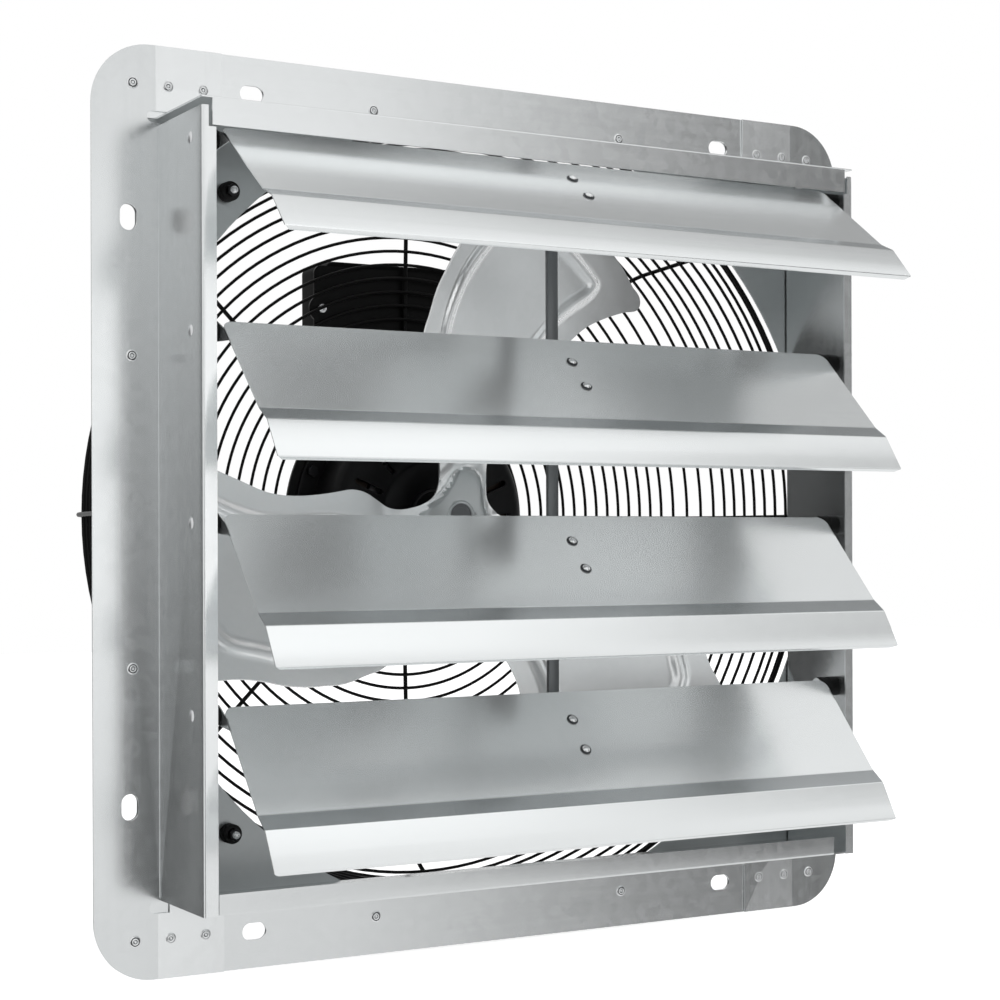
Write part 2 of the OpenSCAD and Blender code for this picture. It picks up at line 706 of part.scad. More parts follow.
back_rings = [for (s = [back_start:back_pitch:back_stop]) s];
rib_sector = 360 / rib_count;

// The rings of the guard's side, the rim ring in thicker wire
module guard_side_rings() {
    color([0.04, 0.04, 0.04]) turn_y() {
        translate(along(0) - (rim_wire_r - ring_wire_r) * rib_normal_side) circle(rim_wire_r, $fn = 24);
        for (k = [1:len(side_rings) - 1]) translate(along(side_rings[k])) circle(ring_wire_r, $fn = 24);
    }
}

// The rings of the guard's back
module guard_back_rings() {
    color([0.04, 0.04, 0.04]) for (s = back_rings) turn_y() translate(along(s)) circle(ring_wire_r, $fn = 24);
}

rib_normal_side = [cos(guard_slope), sin(guard_slope)];
rib_normal_back = [cos(guard_back), sin(guard_back)];
rib_split = (guard_slope + guard_back) / 2;
rib_split_gap = fit / guard_bend_r * 180 / PI;

// A piece of the rib's bend, between two angles
module rib_bend(a0, a1) {
    translate([bend_mid[0], bend_mid[1], 0]) rotate([0, 0, a0]) rotate_extrude(angle = a1 - a0)
        translate([guard_bend_r + rib_weld, 0]) circle(rib_wire_r, $fn = 24);
}

// A straight wire between two points given as radius and y
module wire(p, q, r) {
    d = q - p;
    translate([p[0], p[1], 0]) rotate([0, 0, atan2(d[1], d[0])]) rotate([0, 90, 0])
        cylinder(r = r, h = norm(d), $fn = 24);
}

// The ribs along the guard's side, up to the middle of the bend
module guard_side_ribs() {
    color([0.05, 0.05, 0.05]) for (n = [0:rib_count - 1]) rotate([0, n * rib_sector, 0]) {
        wire(along(0) + rib_weld * rib_normal_side, along(guard_side - fit) + rib_weld * rib_normal_side,
            rib_wire_r);
        rib_bend(guard_slope, rib_split);
    }
}

// The ribs from the middle of the bend to the motor plate
module guard_back_ribs() {
    color([0.05, 0.05, 0.05]) for (n = [0:rib_count - 1]) rotate([0, n * rib_sector, 0]) {
        rib_bend(rib_split + rib_split_gap, guard_back);
        wire(along(guard_side + bend_len + fit) + rib_weld * rib_normal_back,
            along(guard_side + bend_len + back_len) + rib_weld * rib_normal_back, rib_wire_r);
    }
}

foot_t = 2;
foot_y = guard_y - rim_wire_r - foot_t - loose;
foot_land = 1;
foot_r = rubber_r + foot_land;
foot_in = guard_r - rim_wire_r;
bolt_angle = atan2(guard_bolt_z, guard_bolt_x);
bolt_far = norm([guard_bolt_x, guard_bolt_z]);

// Puts its children at the four guard bolts, with their x axis pointing away from the centre
module at_bolts() {
    for (a = [bolt_angle, 180 - bolt_angle, 180 + bolt_angle, -bolt_angle]) rotate([0, -a, 0])
        translate([bolt_far, 0, 0]) children();
}

// The four flat feet welded in front of the guard's rim
module guard_feet() {
    color([0.05, 0.05, 0.05]) at_bolts() plate_xz(foot_y, foot_t) difference() {
        union() {
            circle(foot_r);
            translate([foot_in - bolt_far, -foot_r]) square([bolt_far - foot_in, 2 * foot_r]);
        }
        circle(guard_bolt_r + loose);
    }
}

nut_h = 4;
nut_r = 4.4;
bolt_out = 2.4;
bolt_head_h = 3.4;

// Rubber bushes in front of and behind the rear panel
module guard_rubbers() {
    color([0.05, 0.05, 0.05]) at_bolts() difference() {
        union() {
            rod_y(rubber_r, rear_y - rubber_front, rear_y);
            rod_y(rubber_r, rear_back, foot_y);
        }
        rod_y(guard_bolt_r + fit, rear_y - 2 * rubber_front, foot_y + foot_t);
    }
}

module guard_bolts() {
    color([0.7, 0.71, 0.72]) at_bolts() {
        rod_y(guard_bolt_r, rear_y - rubber_front - nut_h - bolt_out, foot_y + foot_t);
        translate([0, foot_y + foot_t, 0]) rotate([-90, 0, 0]) cylinder(r = nut_r, h = bolt_head_h, $fn = 6);
    }
}

module guard_nuts() {
    color([0.08, 0.08, 0.08]) at_bolts() translate([0, rear_y - rubber_front - nut_h, 0]) difference() {
        rotate([-90, 0, 0]) cylinder(r = nut_r, h = nut_h, $fn = 6);
        rod_y(guard_bolt_r + fit, -nut_h, 2 * nut_h);
    }
}

plate_bore_step = 1.5;
plate_in = motor_r - shell_t + plate_bore_step;
plate_back = bend_end[1] + (bend_end[0] - plate_r) / tan(guard_back) + rib_weld - rib_wire_r;
plate_y = plate_back - plate_t;
motor_bolt_angle = 22.5;

module at_motor_bolts() {
    for (k = [0:3]) rotate([0, motor_bolt_angle + 90 * k, 0]) translate([motor_bolt_ring, 0, 0]) children();
}

// The round plate in the middle of the guard that the motor is bolted to
module motor_plate() {
    color([0.05, 0.05, 0.05]) difference() {
        rod_y(plate_r, plate_y, plate_back);
        rod_y(plate_in, plate_y - plate_t, plate_back + plate_t);
        at_motor_bolts() rod_y(motor_bolt_r + fit, plate_y - plate_t, plate_back + plate_t);
    }
}

vent_count = 16;
vent_w = 4;
vent_in = 46;
vent_out = 68;
boss_wall = 4;
boss_r = bearing_r + boss_wall;
boss_out = 6;
shell_in = motor_r - shell_t;
bearing_ledge = 5;
shaft_hole_r = bearing_r - bearing_ledge;

// One motor shell, its face at y = 0 and its flange at y = d
module shell_shape(d, open_front) {
    difference() {
        union() {
            rod_y(motor_r, 0, d);
            rod_y(shell_flange_r, d - shell_t, d);
            rod_y(boss_r, -boss_out, bearing_w);
        }
        difference() {
            rod_y(shell_in, shell_t, d + shell_t);
            rod_y(boss_r, 0, bearing_w);
        }
        rod_y(bearing_r + fit, shell_t - boss_out, bearing_w + shell_t);
        if (open_front) rod_y(shaft_hole_r, -2 * boss_out, bearing_w);
        for (k = [0:vent_count - 1]) rotate([0, k * 360 / vent_count, 0]) plate_xz(-shell_t, 3 * shell_t) {
            translate([vent_in, -vent_w / 2]) square([vent_out - vent_in, vent_w]);
            translate([vent_in, 0]) circle(vent_w / 2);
            translate([vent_out, 0]) circle(vent_w / 2);
        }
        at_motor_bolts() rod_y(motor_bolt_r + fit, d - 2 * shell_t, d + shell_t);
    }
}

module motor_front_shell() {
    color([0.07, 0.07, 0.08]) translate([0, motor_y, 0]) shell_shape(plate_y - motor_y, true);
}

module motor_rear_shell() {
    color([0.07, 0.07, 0.08]) translate([0, motor_end, 0]) mirror([0, 1, 0]) difference() {
        shell_shape(motor_end - plate_back, false);
        translate([lead_x, lead_drop, 0]) cylinder(r = lead_r + fit, h = 2 * motor_r);
    }
}

module motor_bolts() {
    color([0.6, 0.6, 0.6]) at_motor_bolts() {
        rod_y(motor_bolt_r, plate_y - shell_t, plate_back + shell_t);
        translate([0, plate_y - shell_t - bolt_head_h, 0]) rotate([-90, 0, 0])
            cylinder(r = nut_r, h = bolt_head_h, $fn = 6);
        translate([0, plate_back + shell_t, 0]) rotate([-90, 0, 0]) cylinder(r = nut_r, h = nut_h, $fn = 6);
    }
}

motor_mid = (motor_y + motor_end) / 2;
core_y = motor_mid - core_len / 2;
core_end = motor_mid + core_len / 2;
stator_r = shell_in - loose;
slot_lip = 3;
coil_in = core_bore_r + slot_lip;
coil_edge = 8;
coil_out = stator_r - coil_edge;
coil_h = 12;
stator_slots = 24;
stator_slot_w = 5;
stator_slot_d = 13;

module stator_core() {
    color([0.5, 0.5, 0.52]) plate_xz(core_y, core_len) difference() {
        circle(stator_r);
        circle(core_bore_r);
        for (k = [0:stator_slots - 1]) rotate(k * 360 / stator_slots) translate([coil_in, -stator_slot_w / 2])
            square([stator_slot_d, stator_slot_w]);
    }
}

// The windings: a ring of end turns at each end, joined by the wires in the stator's slots
module stator_windings() {
    color([0.72, 0.4, 0.2]) {
        for (y = [core_y - coil_h, core_end]) turn_y() translate([coil_in, y])
            square([coil_out - coil_in, coil_h]);
        for (k = [0:stator_slots - 1]) rotate([0, k * 360 / stator_slots, 0])
            translate([coil_in + fit, core_y - coil_h / 2, -stator_slot_w / 2 + fit])
                cube([stator_slot_d - 2 * fit, core_len + coil_h, stator_slot_w - 2 * fit]);
    }
}

rotor_r = core_bore_r - air_gap;
end_ring_in = 36;
end_ring_h = 7;
journal_step = 2;
journal_r = shaft_r + journal_step;
shaft_proud = 1;
shaft_front = hub_y - shaft_proud;

module rotor_core() {
    color([0.55, 0.56, 0.58]) difference() {
        union() {
            rod_y(rotor_r, core_y, core_end);
            difference() {
                rod_y(rotor_r - 2 * air_gap, core_y - end_ring_h, core_end + end_ring_h);
                rod_y(end_ring_in, core_y - 2 * end_ring_h, core_y);
                rod_y(end_ring_in, core_end, core_end + 2 * end_ring_h);
            }
        }
        rod_y(journal_r, core_y - core_len, core_end + core_len);
    }
}

bearing_front_y = motor_y + shell_t - boss_out + loose;
bearing_rear_y = motor_end - shell_t + boss_out - bearing_w - loose;

module shaft() {
    color([0.75, 0.76, 0.77]) {
        rod_y(shaft_r, shaft_front, bearing_rear_y + bearing_w);
        rod_y(journal_r, bearing_front_y + bearing_w, bearing_rear_y);
    }
}

race_w = 3;
shield_in = 0.5;

// Two ball bearings, each shown as one closed ring with sunken shields
module bearings() {
    color([0.7, 0.71, 0.72]) for (y = [bearing_front_y, bearing_rear_y]) turn_y() difference() {
        translate([shaft_r + fit, y]) square([bearing_r - shaft_r - fit, bearing_w]);
        for (t = [y, y + bearing_w - shield_in]) translate([shaft_r + race_w, t])
            square([bearing_r - shaft_r - 2 * race_w, shield_in]);
    }
}

trail_share = [-0.204, 0.504];
edge_n = [sin(blade_edge_angle), -cos(blade_edge_angle)];
blade_axis = trail_share * wheel_r + blade_crown * edge_n;
// The blade's outline seen from the louvre side, in shares of the wheel's radius
plan_shares = [[-0.056, 0.072], [-0.072, 0.16], [-0.108, 0.248], [-0.152, 0.336], [-0.188, 0.416],
    [-0.204, 0.504], [-0.192, 0.568], [-0.152, 0.656], [-0.096, 0.752], [-0.032, 0.832], [0.04, 0.928],
    [0.088, 1.048], [0.48, 1.048], [0.752, 0.76], [0.72, 0.688], [0.68, 0.656], [0.632, 0.636],
    [0.568, 0.62], [0.5, 0.596], [0.424, 0.54], [0.368, 0.488], [0.328, 0.432], [0.3, 0.368],
    [0.276, 0.304], [0.248, 0.26], [0.208, 0.228], [0.168, 0.204], [0.136, 0.176], [0.108, 0.136],
    [0.088, 0.08], [0.072, 0.048]];
// The blade meets the hub plate at the first corner of its outline
root_off = (plan_shares[0] * wheel_r - blade_axis) * edge_n;
blade_axis_y = hub_y + blade_root_in - sqrt(blade_bend_r * blade_bend_r - root_off * root_off);

// One blade: the outline cut from a curved sheet
module blade() {
    intersection() {
        difference() {
            translate([blade_axis[0], blade_axis_y, blade_axis[1]]) rotate([0, 90 - blade_edge_angle, 0])
                cylinder(r = blade_bend_r, h = 4 * wheel_r, center = true, $fn = 360);
            translate([blade_axis[0], blade_axis_y, blade_axis[1]]) rotate([0, 90 - blade_edge_angle, 0])
                cylinder(r = blade_bend_r - blade_t, h = 5 * wheel_r, center = true, $fn = 360);
        }
        plate_xz(0, 2 * hub_y) intersection() {
            polygon(plan_shares * wheel_r);
            circle(wheel_r);
        }
    }
}

// The stamped wheel: three blades, the hub plate and the collar around the sleeve
module fan_wheel() {
    color([0.8, 0.81, 0.82]) difference() {
        union() {
            for (k = [0:2]) rotate([0, 120 * k, 0]) blade();
            rod_y(hub_plate_r, hub_y, hub_y + blade_t);
            rod_y(collar_r, hub_y - collar_h, hub_y + blade_t);
        }
        rod_y(sleeve_r + fit, hub_y - 4 * collar_h, hub_y + 4 * blade_t);
    }
}

screw_in = 8;
screw_y = hub_y + sleeve_len - screw_in;
sleeve_step = 3;
sleeve_neck = 10;
screw_hole_r = 2.5;
screw_stick = 1.5;

// The steel sleeve that holds the wheel on the shaft
module fan_sleeve() {
    color([0.3, 0.3, 0.31]) difference() {
        union() {
            rod_y(sleeve_r, shaft_front, hub_y + sleeve_len);
            rod_y(sleeve_r + sleeve_step, hub_y + blade_t + sleeve_neck, hub_y + sleeve_len);
        }
        rod_y(shaft_r + fit, hub_y - 4 * collar_h, hub_y + 2 * sleeve_len);
        translate([0, screw_y, 0]) cylinder(r = screw_hole_r, h = 3 * sleeve_r);
    }
}

module set_screw() {
    color([0.15, 0.15, 0.16]) difference() {
        translate([0, screw_y, shaft_r])
            cylinder(r = screw_hole_r - fit, h = sleeve_r + sleeve_step - shaft_r + screw_stick);
        translate([0, screw_y, sleeve_r + sleeve_step])
            cylinder(r = screw_hole_r / 2, h = 3 * screw_stick, $fn = 6);
    }
}

bracket_t = 2;
jbox_y = bend_end[1] + (bend_end[0] - jbox_low) / tan(guard_back) + gap
    + (rib_weld + rib_wire_r) / sin(guard_back);
box_front = jbox_y + bracket_t;
box_back = box_front + jbox_d;
cover_t = 2.5;
box_mid_z = (jbox_low + jbox_high) / 2;
box_half_z = (jbox_high - jbox_low) / 2;
screw_edge = 8;
screw_x = jbox_bracket_half - screw_edge;
box_screw_r = 2;
box_screw_head_r = 3.2;
box_screw_head_h = 2.4;
box_screw_end = 8;
screw_depth = 12;
cover_head_h = 2;
bracket_side = 2;
bracket_low = 4;
screw_boss_r = 10;
ear_boss_r = 8;
ear_root = 4;
box_ear_h = 6;
box_ear_half = 6;
post_in = 9;
post_r = 5;
gland_drop = 20;
gland_out = 18;
gland_thread_r = 7;
gland_neck_r = 6;
gland_nut_w = 5;
gland_cap_x = 7;
gland_cap_w = 8;
gland_hole_r = 3.6;
lead_r = 3.5;
lead_x = 24;
lead_drop = 14;
lead_in = 6;
lead_up = 4;

module box_outline(inset) {
    translate([0, box_mid_z]) round_rect(jbox_half - inset, box_half_z - inset, jbox_edge_r - inset / 2);
}

// The flat bracket behind the guard's wires that carries the junction box
module box_bracket() {
    color([0.05, 0.05, 0.05]) plate_xz(jbox_y, bracket_t) difference() {
        union() {
            translate([0, box_mid_z])
                round_rect(jbox_bracket_half - bracket_side, box_half_z - bracket_low, jbox_edge_r);
            for (s = [-1, 1]) translate([s * screw_x, box_mid_z]) circle(screw_boss_r);
        }
        for (s = [-1, 1]) translate([s * screw_x, box_mid_z]) circle(box_screw_r + fit);
    }
}

// The open box, its back closed by the cover
module box_base() {
    color([0.06, 0.06, 0.06]) difference() {
        union() {
            plate_xz(box_front, jbox_d) box_outline(0);
            for (s = [-1, 1]) translate([s * screw_x, 0, box_mid_z])
                rod_y(ear_boss_r, box_front, box_front + box_ear_h);
            for (s = [-1, 1])
                translate([s > 0 ? jbox_half - ear_root : -screw_x, box_front, box_mid_z - box_ear_half])
                    cube([screw_x - jbox_half + ear_root, box_ear_h, 2 * box_ear_half]);
        }
        difference() {
            plate_xz(box_front + jbox_t, 2 * jbox_d) box_outline(jbox_t);
            for (sx = [-1, 1], sz = [-1, 1])
                translate([sx * (jbox_half - post_in), 0, box_mid_z + sz * (box_half_z - post_in)])
                    rod_y(post_r, box_front, box_back);
        }
        for (sx = [-1, 1], sz = [-1, 1])
            translate([sx * (jbox_half - post_in), 0, box_mid_z + sz * (box_half_z - post_in)])
                rod_y(box_screw_r + fit, box_back - screw_depth, box_back + jbox_t);
        for (s = [-1, 1]) translate([s * screw_x, 0, box_mid_z]) rod_y(box_screw_r + fit, jbox_y, box_back);
        translate([jbox_half - 2 * jbox_t, box_front + gland_drop, box_mid_z])
            rod_x(gland_thread_r + fit, 0, 4 * jbox_t);
        translate([lead_x, motor_end - lead_drop, jbox_low - jbox_t])
            cylinder(r = lead_r + fit, h = 4 * jbox_t);
    }
}

module box_cover() {
    color([0.06, 0.06, 0.06]) plate_xz(box_back, cover_t) difference() {
        box_outline(0);
        for (sx = [-1, 1], sz = [-1, 1])
            translate([sx * (jbox_half - post_in), box_mid_z + sz * (box_half_z - post_in)])
                circle(box_screw_r + fit);
    }
}

// Two screws through the bracket and four in the cover
module box_screws() {
    color([0.75, 0.75, 0.75]) {
        for (s = [-1, 1]) translate([s * screw_x, 0, box_mid_z]) {
            rod_y(box_screw_r, jbox_y, box_front + box_screw_end);
            difference() {
                rod_y(box_screw_head_r, jbox_y - box_screw_head_h, jbox_y);
                rod_y(box_screw_head_r / 2, jbox_y - 2 * box_screw_head_h, jbox_y - box_screw_head_h / 2);
            }
        }
        for (sx = [-1, 1], sz = [-1, 1])
            translate([sx * (jbox_half - post_in), 0, box_mid_z + sz * (box_half_z - post_in)]) {
                rod_y(box_screw_r, box_back + cover_head_h - screw_depth, box_back + cover_t);
                rod_y(box_screw_head_r, box_back + cover_t, box_back + cover_t + cover_head_h);
            }
    }
}

block_w = 44;
block_d = 16;
block_h = 18;
block_x = -38;

module terminal_block() {
    color([0.85, 0.85, 0.82]) translate([block_x, box_front + jbox_t, jbox_low + jbox_t]) difference() {
        cube([block_w, block_d, block_h]);
        for (k = [0:3]) translate([block_w / 4 * (k + 0.5), block_d / 2, block_h / 2])
            cylinder(r = block_w / 16, h = block_h);
    }
}

cap_gap = 2;
cap_shift = 4;
cap_tag = 5;
cap_z = jbox_high - jbox_t - cap_r - cap_gap;

module capacitor() {
    color([0.2, 0.22, 0.24]) translate([-jbox_half / 2 - cap_shift, box_front + jbox_t + cap_r, cap_z]) {
        rod_x(cap_r, 0, cap_len);
        rod_x(cap_r / 4, cap_len, cap_len + cap_tag);
    }
}

// The cable gland in the box's side, through which a supply cable would enter
module cable_gland() {
    color([0.1, 0.1, 0.1]) translate([0, box_front + gland_drop, box_mid_z]) difference() {
        union() {
            rod_x(gland_thread_r, jbox_half - 2 * jbox_t, jbox_half);
            rod_x(gland_neck_r, jbox_half, jbox_half + gland_out);
            translate([jbox_half, 0, 0]) rotate([0, 90, 0]) cylinder(r = gland_r, h = gland_nut_w, $fn = 6);
            translate([jbox_half + gland_cap_x, 0, 0]) rotate([0, 90, 0])
                cylinder(r = gland_r, h = gland_cap_w, $fn = 6);
        }
        rod_x(gland_hole_r, 0, 2 * jbox_half);
    }
}

// The short sleeved lead from the motor up into the box
module motor_lead() {
    color([0.05, 0.05, 0.05]) translate([lead_x, motor_end - lead_drop, shell_in - lead_in])
        cylinder(r = lead_r, h = jbox_low + jbox_t + lead_up - shell_in + lead_in);
}

left_panel();
right_panel();
top_channel();
bottom_channel();
rear_panel();
frame_rivets();
pivot_pins();
pivot_bushes();
louvre_1();
louvre_2();
louvre_3();
louvre_4();
crank_1();
crank_2();
crank_3();
crank_4();
crank_rivets_1();
crank_rivets_2();
crank_rivets_3();
crank_rivets_4();
tie_bar();
tie_pins();
guard_side_rings();
guard_back_rings();
guard_side_ribs();
guard_back_ribs();
guard_feet();
guard_rubbers();
guard_bolts();
guard_nuts();
motor_plate();
motor_front_shell();
motor_rear_shell();
motor_bolts();
stator_core();
stator_windings();
rotor_core();
shaft();
bearings();
fan_wheel();
fan_sleeve();
set_screw();
box_bracket();
box_base();
box_cover();
box_screws();
terminal_block();
capacitor();
cable_gland();
motor_lead();
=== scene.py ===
import math

import bmesh
import bpy
from mathutils import Matrix, Vector


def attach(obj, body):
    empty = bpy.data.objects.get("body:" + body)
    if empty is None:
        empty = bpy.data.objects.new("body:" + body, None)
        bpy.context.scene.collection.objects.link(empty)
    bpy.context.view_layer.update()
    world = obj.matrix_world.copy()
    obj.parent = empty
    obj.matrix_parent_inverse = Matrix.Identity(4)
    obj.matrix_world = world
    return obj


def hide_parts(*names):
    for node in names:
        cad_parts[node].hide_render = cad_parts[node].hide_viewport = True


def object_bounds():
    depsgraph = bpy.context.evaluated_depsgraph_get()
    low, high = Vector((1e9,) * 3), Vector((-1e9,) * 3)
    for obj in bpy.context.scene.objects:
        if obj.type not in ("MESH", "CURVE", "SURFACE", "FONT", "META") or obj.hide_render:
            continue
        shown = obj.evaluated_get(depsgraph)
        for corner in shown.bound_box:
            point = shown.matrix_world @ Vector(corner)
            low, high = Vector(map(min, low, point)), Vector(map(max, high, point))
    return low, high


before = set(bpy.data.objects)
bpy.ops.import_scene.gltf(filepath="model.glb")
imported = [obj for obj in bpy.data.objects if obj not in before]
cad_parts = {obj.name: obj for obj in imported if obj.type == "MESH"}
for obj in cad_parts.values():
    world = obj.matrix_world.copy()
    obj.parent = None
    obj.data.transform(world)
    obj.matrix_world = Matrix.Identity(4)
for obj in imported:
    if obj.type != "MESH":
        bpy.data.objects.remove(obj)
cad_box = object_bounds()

# The camera stands to the left of the louvres and a little below the middle of the fan, level,
# as far off as a person would stand to take in the whole flange.
camera_place = Vector((-0.729963, -1.250562, -0.022171))
camera_turn = math.radians(30.208)
camera_roll = math.radians(0.177)
film_width = 36
focal_share = 2.0526
horizon_row = 545.694
picture_rows = 1000
camera_data = bpy.data.cameras.new("camera")
camera_data.sensor_width = film_width
camera_data.lens = film_width * focal_share
camera_data.shift_y = (horizon_row - picture_rows / 2) / picture_rows
camera = bpy.data.objects.new("camera", camera_data)
camera.matrix_world = (Matrix.Translation(camera_place) @ Matrix.Rotation(-camera_turn, 4, "Z")
                       @ Matrix.Rotation(math.radians(90), 4, "X") @ Matrix.Rotation(-camera_roll, 4, "Z"))
bpy.context.collection.objects.link(camera)
bpy.context.scene.camera = camera
bpy.context.scene.view_settings.view_transform = "Standard"

# The studio: a white floor under the fan, and a white surround. What the bare sheet mirrors of the
# surround is brighter and darker in places, as a room with soft boxes and dark corners is.
floor_drop = 0.002
floor_half = 4.0
floor_level = 0.72
surround_level = 0.85
room_level = 0.88

# Each patch of the room: its bearing and height, how far round its middle it is full and how far
# off it has faded out, all in degrees, and how much brighter or darker it is.
room_patches = [(-66, 2, 4, 11, 0.62), (-40, 0, 14, 28, -0.8), (-42, 55, 6, 18, 0.3), (-29, 42, 3, 11, -0.5),
                (30, 38, 10, 30, -0.6), (-111, -16, 8, 27, -0.85), (129, -4, 10, 30, -0.8)]
world = bpy.data.worlds.new("studio")
world.use_nodes = True
bpy.context.scene.world = world
world_tree = world.node_tree
surround = world_tree.nodes["Background"]
ray = world_tree.nodes.new("ShaderNodeLightPath")
direction = world_tree.nodes.new("ShaderNodeTexCoord")


def math_step(tree, operation, first, second):
    """The result of a Math node on two values, each of them a socket or a plain number."""
    node = tree.nodes.new("ShaderNodeMath")
    node.operation = operation
    for entry, value in zip(node.inputs, (first, second)):
        if isinstance(value, (int, float)):
            entry.default_value = value
        else:
            tree.links.new(value, entry)
    return node.outputs[0]


def room_tone(before, bearing, height, near, far, amount):
    """Adds one patch of the room to the tone made so far."""
    turn, lift = math.radians(bearing), math.radians(height)
    toward = world_tree.nodes.new("ShaderNodeVectorMath")
    toward.operation = "DOT_PRODUCT"
    toward.inputs[1].default_value = (math.cos(lift) * math.cos(turn), math.cos(lift) * math.sin(turn),
                                      math.sin(lift))
    world_tree.links.new(direction.outputs["Generated"], toward.inputs[0])
    patch = world_tree.nodes.new("ShaderNodeMapRange")
    patch.interpolation_type = "SMOOTHSTEP"
    patch.inputs["From Min"].default_value = math.cos(math.radians(far))
    patch.inputs["From Max"].default_value = math.cos(math.radians(near))
    patch.inputs["To Max"].default_value = amount
    world_tree.links.new(toward.outputs["Value"], patch.inputs["Value"])
    return math_step(world_tree, "ADD", patch.outputs["Result"], before)


tone = room_level
for room_patch in room_patches:
    tone = room_tone(tone, *room_patch)
seen_straight = math_step(world_tree, "MAXIMUM", ray.outputs["Is Camera Ray"], ray.outputs["Is Transmission Ray"])
whitened = world_tree.nodes.new("ShaderNodeMix")
whitened.data_type = "FLOAT"
whitened.inputs["B"].default_value = 1.0
world_tree.links.new(seen_straight, whitened.inputs["Factor"])
world_tree.links.new(tone, whitened.inputs["A"])
world_tree.links.new(whitened.outputs["Result"], surround.inputs["Color"])
seen_any = math_step(world_tree, "MAXIMUM", seen_straight, ray.outputs["Is Glossy Ray"])
level = world_tree.nodes.new("ShaderNodeMapRange")
level.inputs["To Min"].default_value = surround_level
level.inputs["To Max"].default_value = 1.0
world_tree.links.new(seen_any, level.inputs["Value"])
world_tree.links.new(level.outputs["Result"], surround.inputs["Strength"])

floor_shape = bmesh.new()
bmesh.ops.create_grid(floor_shape, x_segments=1, y_segments=1, size=floor_half)
bmesh.ops.translate(floor_shape, verts=floor_shape.verts, vec=(0, 0, cad_box[0][2] - floor_drop))
floor_finish = bpy.data.materials.new("studio floor")
floor_finish.use_nodes = True
floor_tree = floor_finish.node_tree
floor_bsdf = floor_tree.nodes["Principled BSDF"]
floor_bsdf.inputs["Base Color"].default_value = (0.82, 0.82, 0.82, 1)
floor_bsdf.inputs["Roughness"].default_value = 0.9
floor_bsdf.inputs["Emission Color"].default_value = (1, 1, 1, 1)
floor_path = floor_tree.nodes.new("ShaderNodeLightPath")
floor_seen = math_step(floor_tree, "MAXIMUM", floor_path.outputs["Is Camera Ray"], floor_path.outputs["Is Glossy Ray"])
floor_tree.links.new(math_step(floor_tree, "MULTIPLY", floor_seen, floor_level), floor_bsdf.inputs["Emission Strength"])
floor_mesh = bpy.data.meshes.new("studio_floor")
floor_shape.to_mesh(floor_mesh)
floor_shape.free()
floor_mesh.materials.append(floor_finish)
floor = bpy.data.objects.new("studio_floor", floor_mesh)
floor.visible_glossy = False
bpy.context.collection.objects.link(floor)


def soft_lamp(name, place, target, size, power):
    """A rectangular soft box that shines from its place to its target."""
    data = bpy.data.lights.new(name, "AREA")
    data.shape = "RECTANGLE"
    data.size = size[0]
    data.size_y = size[1]
    data.energy = power
    lamp = bpy.data.objects.new(name, data)
    lamp.location = place
    lamp.rotation_euler = (Vector(target) - Vector(place)).to_track_quat("-Z", "Y").to_euler()
    lamp.visible_glossy = False
    bpy.context.collection.objects.link(lamp)


soft_lamp("front lamp", (0.1, -2.8, 0.05), (0, 0, 0), (1.2, 0.6), 16)
soft_lamp("high lamp", (0.4, 0.2, 2.4), (0, 0, 0), (2.2, 1.6), 4)

# Left and right side pieces: galvanised steel sheet, folded into flange, wall and front lip.
# The folds are rounded, and the grain of the rolled sheet runs upright.
sheet_t = 1.2
fold_outer = 1.8
fold_inner = 0.6
wall_x = 255.4
box_front = -75.0
lip_reach = 1.5 * fold_outer
tab_bend = 257.0
tab_rise = 0.4
tab_start = 257.5
upright_grain = (260, 260, 5)


